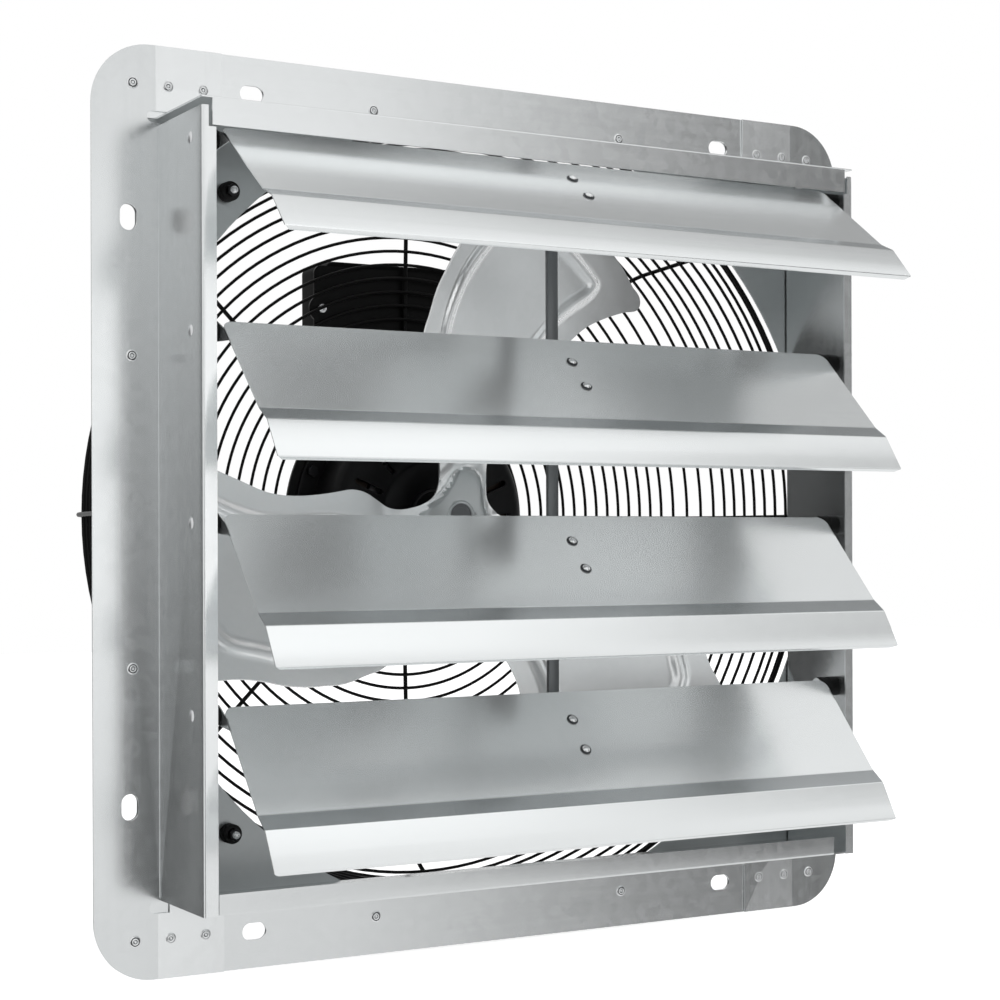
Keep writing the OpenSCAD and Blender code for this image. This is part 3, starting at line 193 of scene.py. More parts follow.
def grain_group():
    """Streaks along the rolling direction, the zinc's faint crystals, and slow clouds of tone."""
    group = bpy.data.node_groups.new("rolled sheet grain", "ShaderNodeTree")
    for name, kind, value in (("Sheet Colour", "Color", (0.8, 0.8, 0.8, 1)), ("Streaks", "Float", 0.05),
                              ("Spangle", "Float", 0.04), ("Clouds", "Float", 0.1), ("Gloss", "Float", 0.35),
                              ("Along", "Vector", (4, 300, 300))):
        group.interface.new_socket(name, in_out="INPUT", socket_type="NodeSocket" + kind).default_value = value
    for name, kind in (("Colour", "Color"), ("Roughness", "Float"), ("Height", "Float")):
        group.interface.new_socket(name, in_out="OUTPUT", socket_type="NodeSocket" + kind)
    nodes = group.nodes
    links = group.links
    entry = nodes.new("NodeGroupInput")
    leave = nodes.new("NodeGroupOutput")
    place = nodes.new("ShaderNodeTexCoord")
    stretch = nodes.new("ShaderNodeVectorMath")
    stretch.operation = "MULTIPLY"
    links.new(place.outputs["Object"], stretch.inputs[0])
    links.new(entry.outputs["Along"], stretch.inputs[1])
    streak = nodes.new("ShaderNodeTexNoise")
    streak.inputs["Scale"].default_value = 1.0
    streak.inputs["Detail"].default_value = 4
    links.new(stretch.outputs[0], streak.inputs["Vector"])
    crystal = nodes.new("ShaderNodeTexVoronoi")
    crystal.inputs["Scale"].default_value = 160
    links.new(place.outputs["Object"], crystal.inputs["Vector"])
    crystal_grey = nodes.new("ShaderNodeSeparateColor")
    links.new(crystal.outputs["Color"], crystal_grey.inputs["Color"])
    cloud = nodes.new("ShaderNodeTexNoise")
    cloud.inputs["Scale"].default_value = 6
    cloud.inputs["Detail"].default_value = 2
    links.new(place.outputs["Object"], cloud.inputs["Vector"])

    def swing(pattern, amount):
        """A pattern from 0 to 1, made to swing about 0 by the amount."""
        return math_step(group, "MULTIPLY", math_step(group, "SUBTRACT", pattern, 0.5), amount)

    fine = math_step(group, "ADD", swing(streak.outputs["Fac"], entry.outputs["Streaks"]),
                     swing(crystal_grey.outputs["Red"], entry.outputs["Spangle"]))
    change = math_step(group, "ADD", fine, swing(cloud.outputs["Fac"], entry.outputs["Clouds"]))
    shade = nodes.new("ShaderNodeVectorMath")
    shade.operation = "SCALE"
    links.new(entry.outputs["Sheet Colour"], shade.inputs[0])
    links.new(math_step(group, "ADD", change, 1.0), shade.inputs["Scale"])
    links.new(shade.outputs[0], leave.inputs["Colour"])
    links.new(math_step(group, "ADD", entry.outputs["Gloss"], fine), leave.inputs["Roughness"])
    links.new(streak.outputs["Fac"], leave.inputs["Height"])
    return group


grain = grain_group()


def sheet_finish(name, colour, gloss, streaks=0.05, spangle=0.03, clouds=0.12, along=(4, 300, 300), metal=0.9,
                 rise=0.08, shine=0.5):
    """A finish on the grain. The grain is drawn out along the axes where along is small."""
    finish = bpy.data.materials.new(name)
    finish.use_nodes = True
    tree = finish.node_tree
    bsdf = tree.nodes["Principled BSDF"]
    bsdf.inputs["Metallic"].default_value = metal
    bsdf.inputs["Specular IOR Level"].default_value = shine
    group = tree.nodes.new("ShaderNodeGroup")
    group.node_tree = grain
    for socket, value in (("Sheet Colour", (*colour, 1)), ("Gloss", gloss), ("Streaks", streaks),
                          ("Spangle", spangle), ("Clouds", clouds), ("Along", along)):
        group.inputs[socket].default_value = value
    tree.links.new(group.outputs["Colour"], bsdf.inputs["Base Color"])
    tree.links.new(group.outputs["Roughness"], bsdf.inputs["Roughness"])
    bump = tree.nodes.new("ShaderNodeBump")
    bump.inputs["Distance"].default_value = 0.0002
    bump.inputs["Strength"].default_value = rise
    tree.links.new(group.outputs["Height"], bump.inputs["Height"])
    tree.links.new(bump.outputs["Normal"], bsdf.inputs["Normal"])
    return finish


def from_cad(node):
    """A merged copy of a CAD node's mesh, in millimetres."""
    shape = bmesh.new()
    shape.from_mesh(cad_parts[node].data)
    bmesh.ops.scale(shape, vec=(1000, 1000, 1000), verts=shape.verts)
    bmesh.ops.remove_doubles(shape, verts=shape.verts, dist=0.001)
    bmesh.ops.dissolve_limit(shape, angle_limit=math.radians(0.5), verts=shape.verts, edges=shape.edges)
    return shape


def rounded(shape, geom, radius, segments, affect="EDGES", clamp=False):
    """Rounds edges, or with affect VERTICES the corners of a flat sheet."""
    bmesh.ops.bevel(shape, geom=geom, offset=radius, offset_type="OFFSET", segments=segments, profile=0.5,
                    affect=affect, clamp_overlap=clamp, material=-1)


def round_fold(shape, at, radius, segments=4):
    """Rounds the edges whose two ends lie at the given place; None leaves that direction free."""
    edges = [edge for edge in shape.edges
             if all(all(want is None or abs(end.co[k] - want) < 0.05 for k, want in enumerate(at))
                    for end in edge.verts)]
    rounded(shape, edges, radius, segments, clamp=True)


def sliced(shape, at, along):
    """Cuts all that crosses a plane, and keeps both sides."""
    bmesh.ops.bisect_plane(shape, geom=shape.verts[:] + shape.edges[:] + shape.faces[:], dist=0.001,
                           plane_co=at, plane_no=along)


def set_piece(name, shape, finish, body, nodes=(), sharp=32):
    """Turns a shape in millimetres into a finished piece that rides on its body.

    Edges that turn by more than sharp degrees stay crisp, and the rest are shaded smooth.
    """
    bmesh.ops.scale(shape, vec=(0.001, 0.001, 0.001), verts=shape.verts)
    for face in shape.faces:
        face.smooth = True
    for edge in shape.edges:
        edge.smooth = len(edge.link_faces) == 2 and edge.calc_face_angle() < math.radians(sharp)
    mesh = bpy.data.meshes.new(name)
    shape.to_mesh(mesh)
    shape.free()
    for coating in finish if isinstance(finish, tuple) else (finish,):
        mesh.materials.append(coating)
    made = bpy.data.objects.new(name, mesh)
    bpy.context.collection.objects.link(made)
    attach(made, body)
    if nodes:
        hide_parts(*nodes)


tab_and_lip_painted_light = sheet_finish("galvanised tab and lip painted light", (0.84, 0.86, 0.865), 0.24, along=upright_grain, metal=0.8)
side_metal = sheet_finish("galvanised side", (0.72, 0.74, 0.745), 0.22, along=upright_grain)
for name, side in (("left_panel", -1), ("right_panel", 1)):
    side_shape = from_cad(name)
    round_fold(side_shape, (side * wall_x, box_front, None), fold_outer)
    round_fold(side_shape, (side * (wall_x - sheet_t), box_front + sheet_t, None), fold_inner, 2)
    round_fold(side_shape, (side * wall_x, 0, None), fold_inner, 2)

    # The corner tabs are bent a little forward, to lie over the strips of the top and bottom
    # channels. The tabs and the front lip are painted lighter than the rest, as painted light.
    for cut in (tab_bend, tab_bend - tab_rise):
        sliced(side_shape, (side * cut, 0, 0), (1, 0, 0))
    for vert in side_shape.verts:
        x, y, z = vert.co
        if abs(x) < tab_bend - tab_rise / 2 and abs(z) > tab_start and -0.1 < y < sheet_t + 0.1:
            vert.co.y -= tab_rise
    # The faces of the tabs and of the front lip take the finish painted lighter, a painted light.
    for face in side_shape.faces:
        middle = face.calc_center_median()
        if (abs(middle.x) < tab_bend and abs(middle.z) > tab_start) or middle.y < box_front + lip_reach:
            face.material_index = 1
    set_piece("folded_" + name, side_shape, (side_metal, tab_and_lip_painted_light), "housing", [name])

# Top and bottom channels: galvanised sheet folded into flange strip, wall and front lip, with the
# grain lying along them. Their flange strips lie behind the side pieces' corner tabs.
top_out = 254.4
bottom_out = -249.2
level_grain = (5, 260, 260)
# The sides, the top and the bottom are one galvanised sheet given three tones, as painted light and shade.
top_metal = sheet_finish("galvanised top", (0.82, 0.84, 0.845), 0.22, along=level_grain)
bottom_metal = sheet_finish("galvanised bottom", (0.76, 0.78, 0.785), 0.22, along=level_grain)
for name, out, finish, slot in (("top_channel", top_out, top_metal, "top_sheet"),
                                ("bottom_channel", bottom_out, bottom_metal, "bottom_sheet")):
    inward = -1 if out > 0 else 1
    channel_shape = from_cad(name)
    round_fold(channel_shape, (None, box_front, out), fold_outer)
    round_fold(channel_shape, (None, box_front + sheet_t, out + inward * sheet_t), fold_inner, 2)
    round_fold(channel_shape, (None, sheet_t, out), fold_inner, 2)
    set_piece("folded_" + name, channel_shape, finish, "housing", [name])

# Rear panel: one galvanised sheet with the round air opening, riveted behind the other sheets.
# Its zinc is painted greyer than theirs, as painted shade from the box, and it is rougher.
rear_painted_shade = sheet_finish("galvanised rear painted shade", (0.44, 0.46, 0.465), 0.34, along=level_grain, clouds=0.2)


def coat(node, finish):
    """Gives its finish to a CAD node that keeps its own shape."""
    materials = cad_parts[node].data.materials
    materials.clear()
    materials.append(finish)


coat("rear_panel", rear_painted_shade)

# Blind rivets through the flange: aluminium, a low dome with the broken mandrel sunk in its middle.
# Painted shade darkens the two grooves of the head, and the tail is spread behind the rear panel.
rivet_dome = [(0, -1.0), (0.6, -1.1), (0.95, -0.85), (1.05, -0.5), (1.25, -0.5), (1.45, -1.2), (1.8, -1.3),
              (2.15, -1.2), (2.4, -0.85), (2.5, -0.35), (2.85, -0.35), (3.0, -0.75), (3.5, -0.6), (3.8, -0.3),
              (3.9, 0), (2, 0.02)]
rivet_tail = [(2, 3.7), (3, 3.6), (3, 4.6), (2.6, 4.9), (0, 4.9)]
rivet_shaded_grooves = ((1.0, 1.3), (2.35, 2.9))
corner_rivet_x = 272.5
rivet_pitch = 24
row_z = 274.5
side_rivet_x = 273.5
middle_rivet = 100
even_grain = (200, 200, 200)


def turned(profile, steps=32, closed=False):
    """Spins a profile of radius and depth about the fan's axis."""
    shape = bmesh.new()
    dots = [shape.verts.new((radius, along, 0)) for radius, along in profile]
    lines = [shape.edges.new(pair) for pair in zip(dots, dots[1:] + (dots[:1] if closed else []))]
    bmesh.ops.spin(shape, geom=dots + lines, cent=(0, 0, 0), axis=(0, 1, 0), dvec=(0, 0, 0), angle=math.tau,
                   steps=steps, use_merge=True)
    bmesh.ops.remove_doubles(shape, verts=shape.verts, dist=0.0005)
    bmesh.ops.recalc_face_normals(shape, faces=shape.faces)
    return shape


def paint_shade_on(shape, rings, depth):
    """Gives the second finish, a painted shade, to the faces in front of a depth that lie within the rings."""
    for face in shape.faces:
        middle = face.calc_center_median()
        if middle.y < depth and any(low < math.hypot(middle.x, middle.z) < high for low, high in rings):
            face.material_index = 1
    return shape


def put_copies(shape, part, places):
    """Adds a copy of one part at each place, then lets the part go."""
    carrier = bpy.data.meshes.new("carrier")
    part.to_mesh(carrier)
    part.free()
    for place in places:
        copy = carrier.copy()
        copy.transform(place)
        shape.from_mesh(copy)
        bpy.data.meshes.remove(copy)
    bpy.data.meshes.remove(carrier)
    return shape


rivet_metal = sheet_finish("rivet aluminium", (0.84, 0.855, 0.86), 0.24, streaks=0.04, along=even_grain)
rivet_painted_shade = sheet_finish("rivet groove painted shade", (0.09, 0.095, 0.1), 0.5, streaks=0.04, along=even_grain)
corners = [(side, end) for side in (-1, 1) for end in (-1, 1)]
rivet_places = [(side * (corner_rivet_x - step * rivet_pitch), 0, end * row_z) for side, end in corners
                for step in range(3)]
rivet_places += [(side * side_rivet_x, 0, end * middle_rivet) for side, end in corners]
rivet_places += [(side * middle_rivet, sheet_t, end * row_z) for side, end in corners]
rivet_shape = paint_shade_on(turned(rivet_dome + rivet_tail, 24), rivet_shaded_grooves, 0)
set_piece("flange_rivets",
          put_copies(bmesh.new(), rivet_shape, [Matrix.Translation(place) for place in rivet_places]),
          (rivet_metal, rivet_painted_shade), "housing", ["frame_rivets"], sharp=40)

# Louvre pivot pins: steel, riveted over outside the side walls and flared inside the louvre's ear.
# A round black nylon bush on each pin keeps the louvre clear of the wall.
pivot_y = -55.0
pivot_heights = [231.6, 112.0, -7.6, -127.2]
pin_profile = [(0, 256.7), (1.2, 256.6), (2.3, 256.3), (3.2, 255.9), (3.8, 255.5), (3.9, 255.35), (2.4, 255.3),
               (2.4, 237.2), (3.0, 237.0), (3.0, 235.8), (2.6, 235.7), (0, 235.7)]
bush_profile = [(2.6, 238.3), (6.4, 238.3), (7, 238.9), (7, 243.5), (6.5, 243.9), (6.5, 246.1), (7, 246.5),
                (7, 253.6), (6.4, 254.2), (2.6, 254.2)]
across = Matrix.Rotation(math.radians(-90), 4, "Z")
pin_places = [Matrix.Translation((0, pivot_y, height)) @ turn @ across for height in pivot_heights
              for turn in (Matrix.Identity(4), Matrix.Rotation(math.pi, 4, "Z"))]
pin_metal = sheet_finish("pin steel", (0.74, 0.75, 0.76), 0.25, streaks=0.03, along=even_grain)
set_piece("pivot_pin_heads", put_copies(bmesh.new(), turned(pin_profile, 24), pin_places), pin_metal, "housing",
          ["pivot_pins"])
bush_black = sheet_finish("bush nylon", (0.006, 0.006, 0.006), 0.42, metal=0.0, shine=0.22, along=even_grain)
set_piece("nylon_bushes", put_copies(bmesh.new(), turned(bush_profile, 32, closed=True), pin_places), bush_black,
          "housing", ["pivot_bushes"])

# The four louvres: thin bright sheet, rolled with a step above the lip and a small return below it.
# Each hangs on an ear at either end, and stands open at its own angle. The step is painted darker
# than the rest, as painted shade. Two bright domed rivets hold the crank bracket behind each louvre,
# with a ring of painted shade round the foot of each dome.
louvre_t = 0.8
louvre_half = 238.0
louvre_opens = [54, 45.6, 43, 41.3]
louvre_top = -1.4
lip_top = -110.9
louvre_section = [(-9.9 + louvre_t / 2, louvre_top), (-9.9 + louvre_t / 2, -82.8), (-12.9 + louvre_t / 2, -95.8),
                  (-9.45, lip_top), (-7.3 + louvre_t / 2, -123.4), (-3.2, -122.2)]
step_high, step_low = -83.0, -95.6
return_depth = -5
return_short = 4.0
top_corner_r = 7
louvre_fold = 0.9
ear_outline = [(-9.5, -10), (-9.5, -20), (3.6, -5.4), (5.6, -3.3), (6.5, 0), (5.6, 3.3), (3.3, 5.6), (0, 6.5),
               (-3.3, 5.6), (-4.9, 3.6)]
bracket_dome = [(0, -2.1), (0.9, -2.05), (1.7, -1.8), (2.4, -1.35), (2.8, -0.8), (2.95, -0.35), (3.95, -0.25),
                (3.95, 0.1), (2, 0.15), (2, 2.2), (3, 2.25), (3, 3.2), (2.4, 3.4), (0, 3.4)]
bracket_shaded_rim = ((2.85, 4.0),)
shaded_rim_depth = 0.15
bracket_x, bracket_y = 8.4, -9.9
bracket_drops = (25, 50)
louvre_metal = sheet_finish("louvre sheet", (0.88, 0.905, 0.91), 0.2, streaks=0.03, spangle=0.01, clouds=0.08,
                            along=(3, 300, 300), metal=0.74, rise=0.04)
step_painted_shade = sheet_finish("louvre step painted shade", (0.56, 0.59, 0.6), 0.24, spangle=0.02, along=(3, 300, 300), metal=0.8,
                          rise=0.04)


def move_drawn(shape, drawn, vec):
    """Moves the corners of what an extrude has just drawn out."""
    bmesh.ops.translate(shape, vec=vec, verts=[item for item in drawn if isinstance(item, bmesh.types.BMVert)])


def thicken(shape, wall):
    """Turns the faces of an open sheet to the louvre side, and gives it its thickness."""
    bmesh.ops.recalc_face_normals(shape, faces=shape.faces)
    if sum(face.normal.y * face.calc_area() for face in shape.faces) > 0:
        bmesh.ops.reverse_faces(shape, faces=shape.faces)
    bmesh.ops.solidify(shape, geom=shape.faces[:], thickness=wall)


for count, (height, opens) in enumerate(zip(pivot_heights, louvre_opens), 1):
    body = "louvre_%d" % count
    louvre_shape = bmesh.new()
    ends = [louvre_shape.verts.new((-louvre_half, depth, drop)) for depth, drop in louvre_section]
    fold_lines = [louvre_shape.edges.new(pair) for pair in zip(ends, ends[1:])]
    pulled = bmesh.ops.extrude_edge_only(louvre_shape, edges=fold_lines)["geom"]
    move_drawn(louvre_shape, pulled, (2 * louvre_half, 0, 0))
    for vert in louvre_shape.verts:
        if vert.co.y > return_depth:
            vert.co.x -= math.copysign(return_short, vert.co.x)
    top_corners = [vert for vert in louvre_shape.verts if vert.co.z > louvre_top - 0.1]
    rounded(louvre_shape, top_corners, top_corner_r, 6, affect="VERTICES")
    folds = [edge for edge in louvre_shape.edges if len(edge.link_faces) == 2
             and edge.calc_length() > louvre_half and abs(edge.verts[0].co.z - lip_top) > 1]
    rounded(louvre_shape, folds, louvre_fold, 3)
    thicken(louvre_shape, louvre_t)
    # The step's faces take the darker finish, a painted shade.
    for face in louvre_shape.faces:
        if step_low < face.calc_center_median().z < step_high:
            face.material_index = 1
    for side in (-1, 1):
        ear_dots = [louvre_shape.verts.new((side * (louvre_half - louvre_t), depth, drop))
                    for depth, drop in ear_outline]
        ear_face = louvre_shape.faces.new(ear_dots)
        ear_wall = bmesh.ops.extrude_face_region(louvre_shape, geom=[ear_face])["geom"]
        move_drawn(louvre_shape, ear_wall, (side * louvre_t, 0, 0))
    bmesh.ops.recalc_face_normals(louvre_shape, faces=louvre_shape.faces)
    hang = Matrix.Translation((0, pivot_y, height)) @ Matrix.Rotation(math.radians(-opens), 4, "X")
    bmesh.ops.transform(louvre_shape, matrix=hang, verts=louvre_shape.verts)
    set_piece("louvre_sheet_%d" % count, louvre_shape, (louvre_metal, step_painted_shade), body, [body],
              sharp=25)
    # The flat ring round the foot of each bracket rivet's dome takes the painted shade finish.
    bracket_rivet = paint_shade_on(turned(bracket_dome, 24), bracket_shaded_rim, shaded_rim_depth)
    rivet_spots = [hang @ Matrix.Translation((bracket_x, bracket_y, -drop)) for drop in bracket_drops]
    set_piece("bracket_rivets_%d" % count, put_copies(bmesh.new(), bracket_rivet, rivet_spots),
              (rivet_metal, rivet_painted_shade), body, ["crank_rivets_%d" % count], sharp=45)

# Crank brackets and the tie bar: plain steel strip. The brackets keep their plain plate shape, and the
# bar is folded to a J, its edges softened by the press. The bar's pins are bright steel.
link_metal = sheet_finish("link strip", (0.17, 0.18, 0.185), 0.42, along=(260, 260, 4))
press_edge = 0.35
for count in range(1, 5):
    coat("crank_%d" % count, link_metal)
bar_shape = from_cad("tie_bar")
long_edges = [edge for edge in bar_shape.edges if edge.calc_length() > 100
              and len(edge.link_faces) == 2 and edge.calc_face_angle() > 1]
rounded(bar_shape, long_edges, press_edge, 2)
set_piece("tie_bar_strip", bar_shape, link_metal, "tie_bar", ["tie_bar"])
coat("tie_pins", pin_metal)

# The wire guard: round steel wire, painted black. The rings are welded to the inside of eight bent
# ribs, and the first of them, the rim, is of thicker wire.
guard_r = 282.5
guard_start = 17.0
guard_side = 87.0
guard_bend_r = 45.0
guard_slope = math.radians(8)
guard_back = math.radians(88)
ring_wire = 1.2
rim_wire = 1.6
rib_wire = 1.6
weld = ring_wire + rib_wire + 0.05
rib_count = 8
rib_stop_r = 95.5
wire_facets, rib_facets = 8, 10
ring_steps, bend_steps = 128, 12
back_ring_least = 101
side_pitch, back_pitch = 11.4, 10.3
side_runs = [3.2, 11.1, 19.0] + [19.0 + k * side_pitch for k in range(1, 11)]
side_out = Vector((math.cos(guard_slope), math.sin(guard_slope)))
back_line = Vector((-math.sin(guard_back), math.cos(guard_back)))
side_end = Vector((guard_r - guard_side * math.sin(guard_slope), guard_start + guard_side * math.cos(guard_slope)))
bend_centre = side_end - guard_bend_r * side_out
bend_end = bend_centre + guard_bend_r * Vector((math.cos(guard_back), math.sin(guard_back)))
bend_len = guard_bend_r * (guard_back - guard_slope)
guard_black = sheet_finish("guard paint", (0.004, 0.004, 0.004), 0.38, metal=0.0, shine=0.12, along=(120, 120, 120),
                           rise=0.3)


def along_guard(run):
    """Radius and depth of the guard's outline, at a length along it from the rim."""
    if run <= guard_side:
        return Vector((guard_r - run * math.sin(guard_slope), guard_start + run * math.cos(guard_slope)))
    if run <= guard_side + bend_len:
        turn = guard_slope + (run - guard_side) / guard_bend_r
        return bend_centre + guard_bend_r * Vector((math.cos(turn), math.sin(turn)))
    return bend_end + (run - guard_side - bend_len) * back_line


def wire_ring(shape, middle, radius):
    """Adds a ring of round wire, whose middle line has the given radius and depth."""
    turns = [k * math.tau / wire_facets for k in range(wire_facets)]
    around = [(middle[0] + radius * math.cos(turn), middle[1] + radius * math.sin(turn)) for turn in turns]
    return put_copies(shape, turned(around, ring_steps, closed=True), [Matrix.Identity(4)])


def round_axis(number):
    """Evenly spaced turns about the fan's axis."""
    return [Matrix.Rotation(k * math.tau / number, 4, "Y") for k in range(number)]


side_rings = wire_ring(bmesh.new(), along_guard(0) - (rim_wire - ring_wire) * side_out, rim_wire)
for run in side_runs:
    wire_ring(side_rings, along_guard(run), ring_wire)
set_piece("guard_side_wires", side_rings, guard_black, "housing", ["guard_side_rings"], sharp=60)
back_rings = bmesh.new()
back_run = side_runs[-1] + back_pitch
while along_guard(back_run)[0] > back_ring_least:
    wire_ring(back_rings, along_guard(back_run), ring_wire)
    back_run += back_pitch
set_piece("guard_back_wires", back_rings, guard_black, "housing", ["guard_back_rings"], sharp=60)

rib_shape = bmesh.new()
rib_end = along_guard(guard_side + bend_len) + (bend_end[0] - rib_stop_r) / math.sin(guard_back) * back_line
rib_first = along_guard(0) + weld * side_out
rib_rim = bmesh.ops.create_circle(rib_shape, cap_ends=False, segments=rib_facets, radius=rib_wire)["verts"]
bmesh.ops.rotate(rib_shape, verts=rib_rim, cent=(0, 0, 0), matrix=Matrix.Rotation(math.radians(-90), 3, "X"))
bmesh.ops.rotate(rib_shape, verts=rib_rim, cent=(0, 0, 0), matrix=Matrix.Rotation(guard_slope, 3, "Z"))
bmesh.ops.translate(rib_shape, verts=rib_rim, vec=(rib_first[0], rib_first[1], 0))


def extruded_ring(shape, ring, vec):
    """Draws a ring of edges out into a tube wall and gives the ring at its far end."""
    drawn = bmesh.ops.extrude_edge_only(shape, edges=ring)["geom"]
    move_drawn(shape, drawn, (vec[0], vec[1], 0))
    far = {item for item in drawn if isinstance(item, bmesh.types.BMVert)}
    return [item for item in drawn if isinstance(item, bmesh.types.BMEdge) and far.issuperset(item.verts)]


ring = extruded_ring(rib_shape, rib_shape.edges[:], side_end + weld * side_out - rib_first)
spun = bmesh.ops.spin(rib_shape, geom=ring + list({vert for edge in ring for vert in edge.verts}),
                      cent=(bend_centre[0], bend_centre[1], 0), axis=(0, 0, 1), dvec=(0, 0, 0),
                      angle=guard_back - guard_slope, steps=bend_steps, use_merge=False)
ring = [item for item in spun["geom_last"] if isinstance(item, bmesh.types.BMEdge)]
extruded_ring(rib_shape, ring, rib_end - bend_end)
bmesh.ops.remove_doubles(rib_shape, verts=rib_shape.verts, dist=0.001)
bmesh.ops.holes_fill(rib_shape, edges=[edge for edge in rib_shape.edges if edge.is_boundary], sides=0)
bmesh.ops.recalc_face_normals(rib_shape, faces=rib_shape.faces)
set_piece("guard_ribs", put_copies(bmesh.new(), rib_shape, round_axis(rib_count)), guard_black, "housing",
          ["guard_side_ribs", "guard_back_ribs"], sharp=60)

# Four flat feet are welded to the rim. A bolt through a rubber bush, with a blackened hexagon nut on
# the louvre side, holds each of them to the rear panel.
bolt_x, bolt_z = 207, 210
rubber_profile = [(2.5, -5.6), (5.4, -5.6), (6.2, -5.2), (6.5, -4.4), (6.5, -1.0), (5.6, -0.6), (5.6, 0.2),
                  (6.5, 0.6), (6.5, 2.4), (2.5, 2.4)]
rubber_rear = [(2.5, 3.6), (6.5, 3.6), (6.5, 12.2), (5.9, 13.2), (2.5, 13.2)]
nut_r = 4.4
nut_seat = -5.6
nut_t = 4
nut_edge = 0.45
thread_pitch = 0.75
thread_turns = 14
crest_r, root_r = 2.4, 2.05
bolt_spots = [Matrix.Translation((side * bolt_x, 0, end * bolt_z)) for side, end in corners]
rubber_black = sheet_finish("bush rubber", (0.014, 0.014, 0.014), 0.62, metal=0.0, shine=0.22, along=(150, 150, 150))
rubbers = put_copies(bmesh.new(), turned(rubber_profile, 32, closed=True), bolt_spots)
rubbers = put_copies(rubbers, turned(rubber_rear, 32, closed=True), bolt_spots)
set_piece("rubber_bushes", rubbers, rubber_black, "housing", ["guard_rubbers"])
nut_shape = bmesh.new()
nut_face = bmesh.ops.create_circle(nut_shape, cap_ends=True, segments=6, radius=nut_r)["verts"]
bmesh.ops.rotate(nut_shape, verts=nut_face, cent=(0, 0, 0), matrix=Matrix.Rotation(math.radians(90), 3, "X"))
bmesh.ops.translate(nut_shape, verts=nut_face, vec=(0, nut_seat, 0))
nut_top = bmesh.ops.extrude_face_region(nut_shape, geom=nut_shape.faces[:])["geom"]
move_drawn(nut_shape, nut_top, (0, -nut_t, 0))
rounded(nut_shape, nut_shape.edges[:], nut_edge, 2)
bmesh.ops.recalc_face_normals(nut_shape, faces=nut_shape.faces)
nut_black = sheet_finish("blackened nut", (0.03, 0.03, 0.032), 0.35, metal=1.0, along=(150, 150, 150))
set_piece("guard_hex_nuts", put_copies(bmesh.new(), nut_shape, bolt_spots), nut_black, "housing", ["guard_nuts"],
          sharp=50)
bolt_profile = [(0, -12), (1.6, -12), (2.2, -11.5)]
for turn_count in range(thread_turns):
    bolt_profile += [(crest_r, -11.3 + turn_count * thread_pitch), (root_r, -10.95 + turn_count * thread_pitch)]
bolt_profile += [(crest_r, -0.6), (crest_r, 15.3), (4.2, 15.4), (4.3, 15.8), (4.3, 18.2), (3.8, 18.7), (0, 18.7)]
set_piece("guard_bolt_shanks", put_copies(bmesh.new(), turned(bolt_profile, 24), bolt_spots), pin_metal, "housing",
          ["guard_bolts"], sharp=50)
for name in ("guard_feet", "motor_plate"):
    coat(name, guard_black)

# The motor: two pressed steel shells with rounded shoulders and slots for cooling air, painted black,
# bolted through their flanges to the round plate in the middle of the guard. The shaft, the rotor and
# the stator with its windings are inside them.
motor_r = 80.0
motor_face = 104.0
motor_back = 184.0
plate_front = 145.3
plate_t = 2.4
shell_wall = 3.0
shell_flange_r = 94
flange_edge = 0.7
shoulder = 9.0
arc_step = 15
boss_outline = [(11, -6), (18.8, -6), (20, -4.8), (20, 0), (38, 0), (39.5, 1), (42.5, 1), (44, 0)]
boss_inside = [(20, shell_wall), (20, 10), (16, 10), (16, -3), (11, -3)]
slot_near = 45.0
slot_far = 69.0
slot_wide = 4.2
slot_count = 16
cutter_deep = 30
motor_black = sheet_finish("motor paint", (0.005, 0.005, 0.0055), 0.4, metal=0.0, shine=0.15, along=(90, 90, 90),
                           rise=0.4)


def motor_shell(face, flange, boss_hole):
    """One shell, from its face to its flange: the outline spun round, and the slots cut through."""
    toward = 1 if flange > face else -1
    inner = shoulder - shell_wall
    line = [(radius, face + depth * toward) for radius, depth in boss_outline]
    for degrees in range(90, -1, -arc_step):
        turn = math.radians(degrees)
        line.append((motor_r - shoulder + shoulder * math.cos(turn), face + shoulder * toward * (1 - math.sin(turn))))
    line += [(motor_r, flange - shell_wall * toward), (shell_flange_r - flange_edge, flange - shell_wall * toward),
             (shell_flange_r, flange - (shell_wall - flange_edge) * toward), (shell_flange_r, flange),
             (motor_r - shell_wall, flange)]
    for degrees in range(0, 91, arc_step):
        turn = math.radians(degrees)
        line.append((motor_r - shoulder + inner * math.cos(turn),
                     face + shoulder * toward - inner * toward * math.sin(turn)))
    line += [(radius, face + depth * toward) for radius, depth in boss_inside]
    if not boss_hole:
        line = [(0, line[0][1])] + line[:-1] + [(0, line[-1][1])]
    cutter = bmesh.new()
    bmesh.ops.create_cube(cutter, size=1)
    bmesh.ops.scale(cutter, vec=(slot_far - slot_near, cutter_deep, slot_wide), verts=cutter.verts)
    rounded(cutter, [edge for edge in cutter.edges if abs(edge.verts[0].co.y - edge.verts[1].co.y) > 1],
            slot_wide / 2 - 0.05, 5)
    bmesh.ops.translate(cutter, vec=((slot_near + slot_far) / 2, face, 0), verts=cutter.verts)
    helpers = []
    for name, shape in (("shell_blank", turned(line, 96, closed=boss_hole)),
                        ("slot_cutters", put_copies(bmesh.new(), cutter, round_axis(slot_count)))):
        mesh = bpy.data.meshes.new(name)
        shape.to_mesh(mesh)
        shape.free()
        helpers.append(bpy.data.objects.new(name, mesh))
        bpy.context.collection.objects.link(helpers[-1])
    blank, cutters = helpers
    cut = blank.modifiers.new("slots", "BOOLEAN")
    cut.operation = "DIFFERENCE"
    cut.object = cutters
    evaluated = blank.evaluated_get(bpy.context.evaluated_depsgraph_get())
    slotted = bmesh.new()
    slotted.from_mesh(evaluated.to_mesh())
    evaluated.to_mesh_clear()
    for helper in helpers:
        old_mesh = helper.data
        bpy.data.objects.remove(helper)
        bpy.data.meshes.remove(old_mesh)
    return slotted


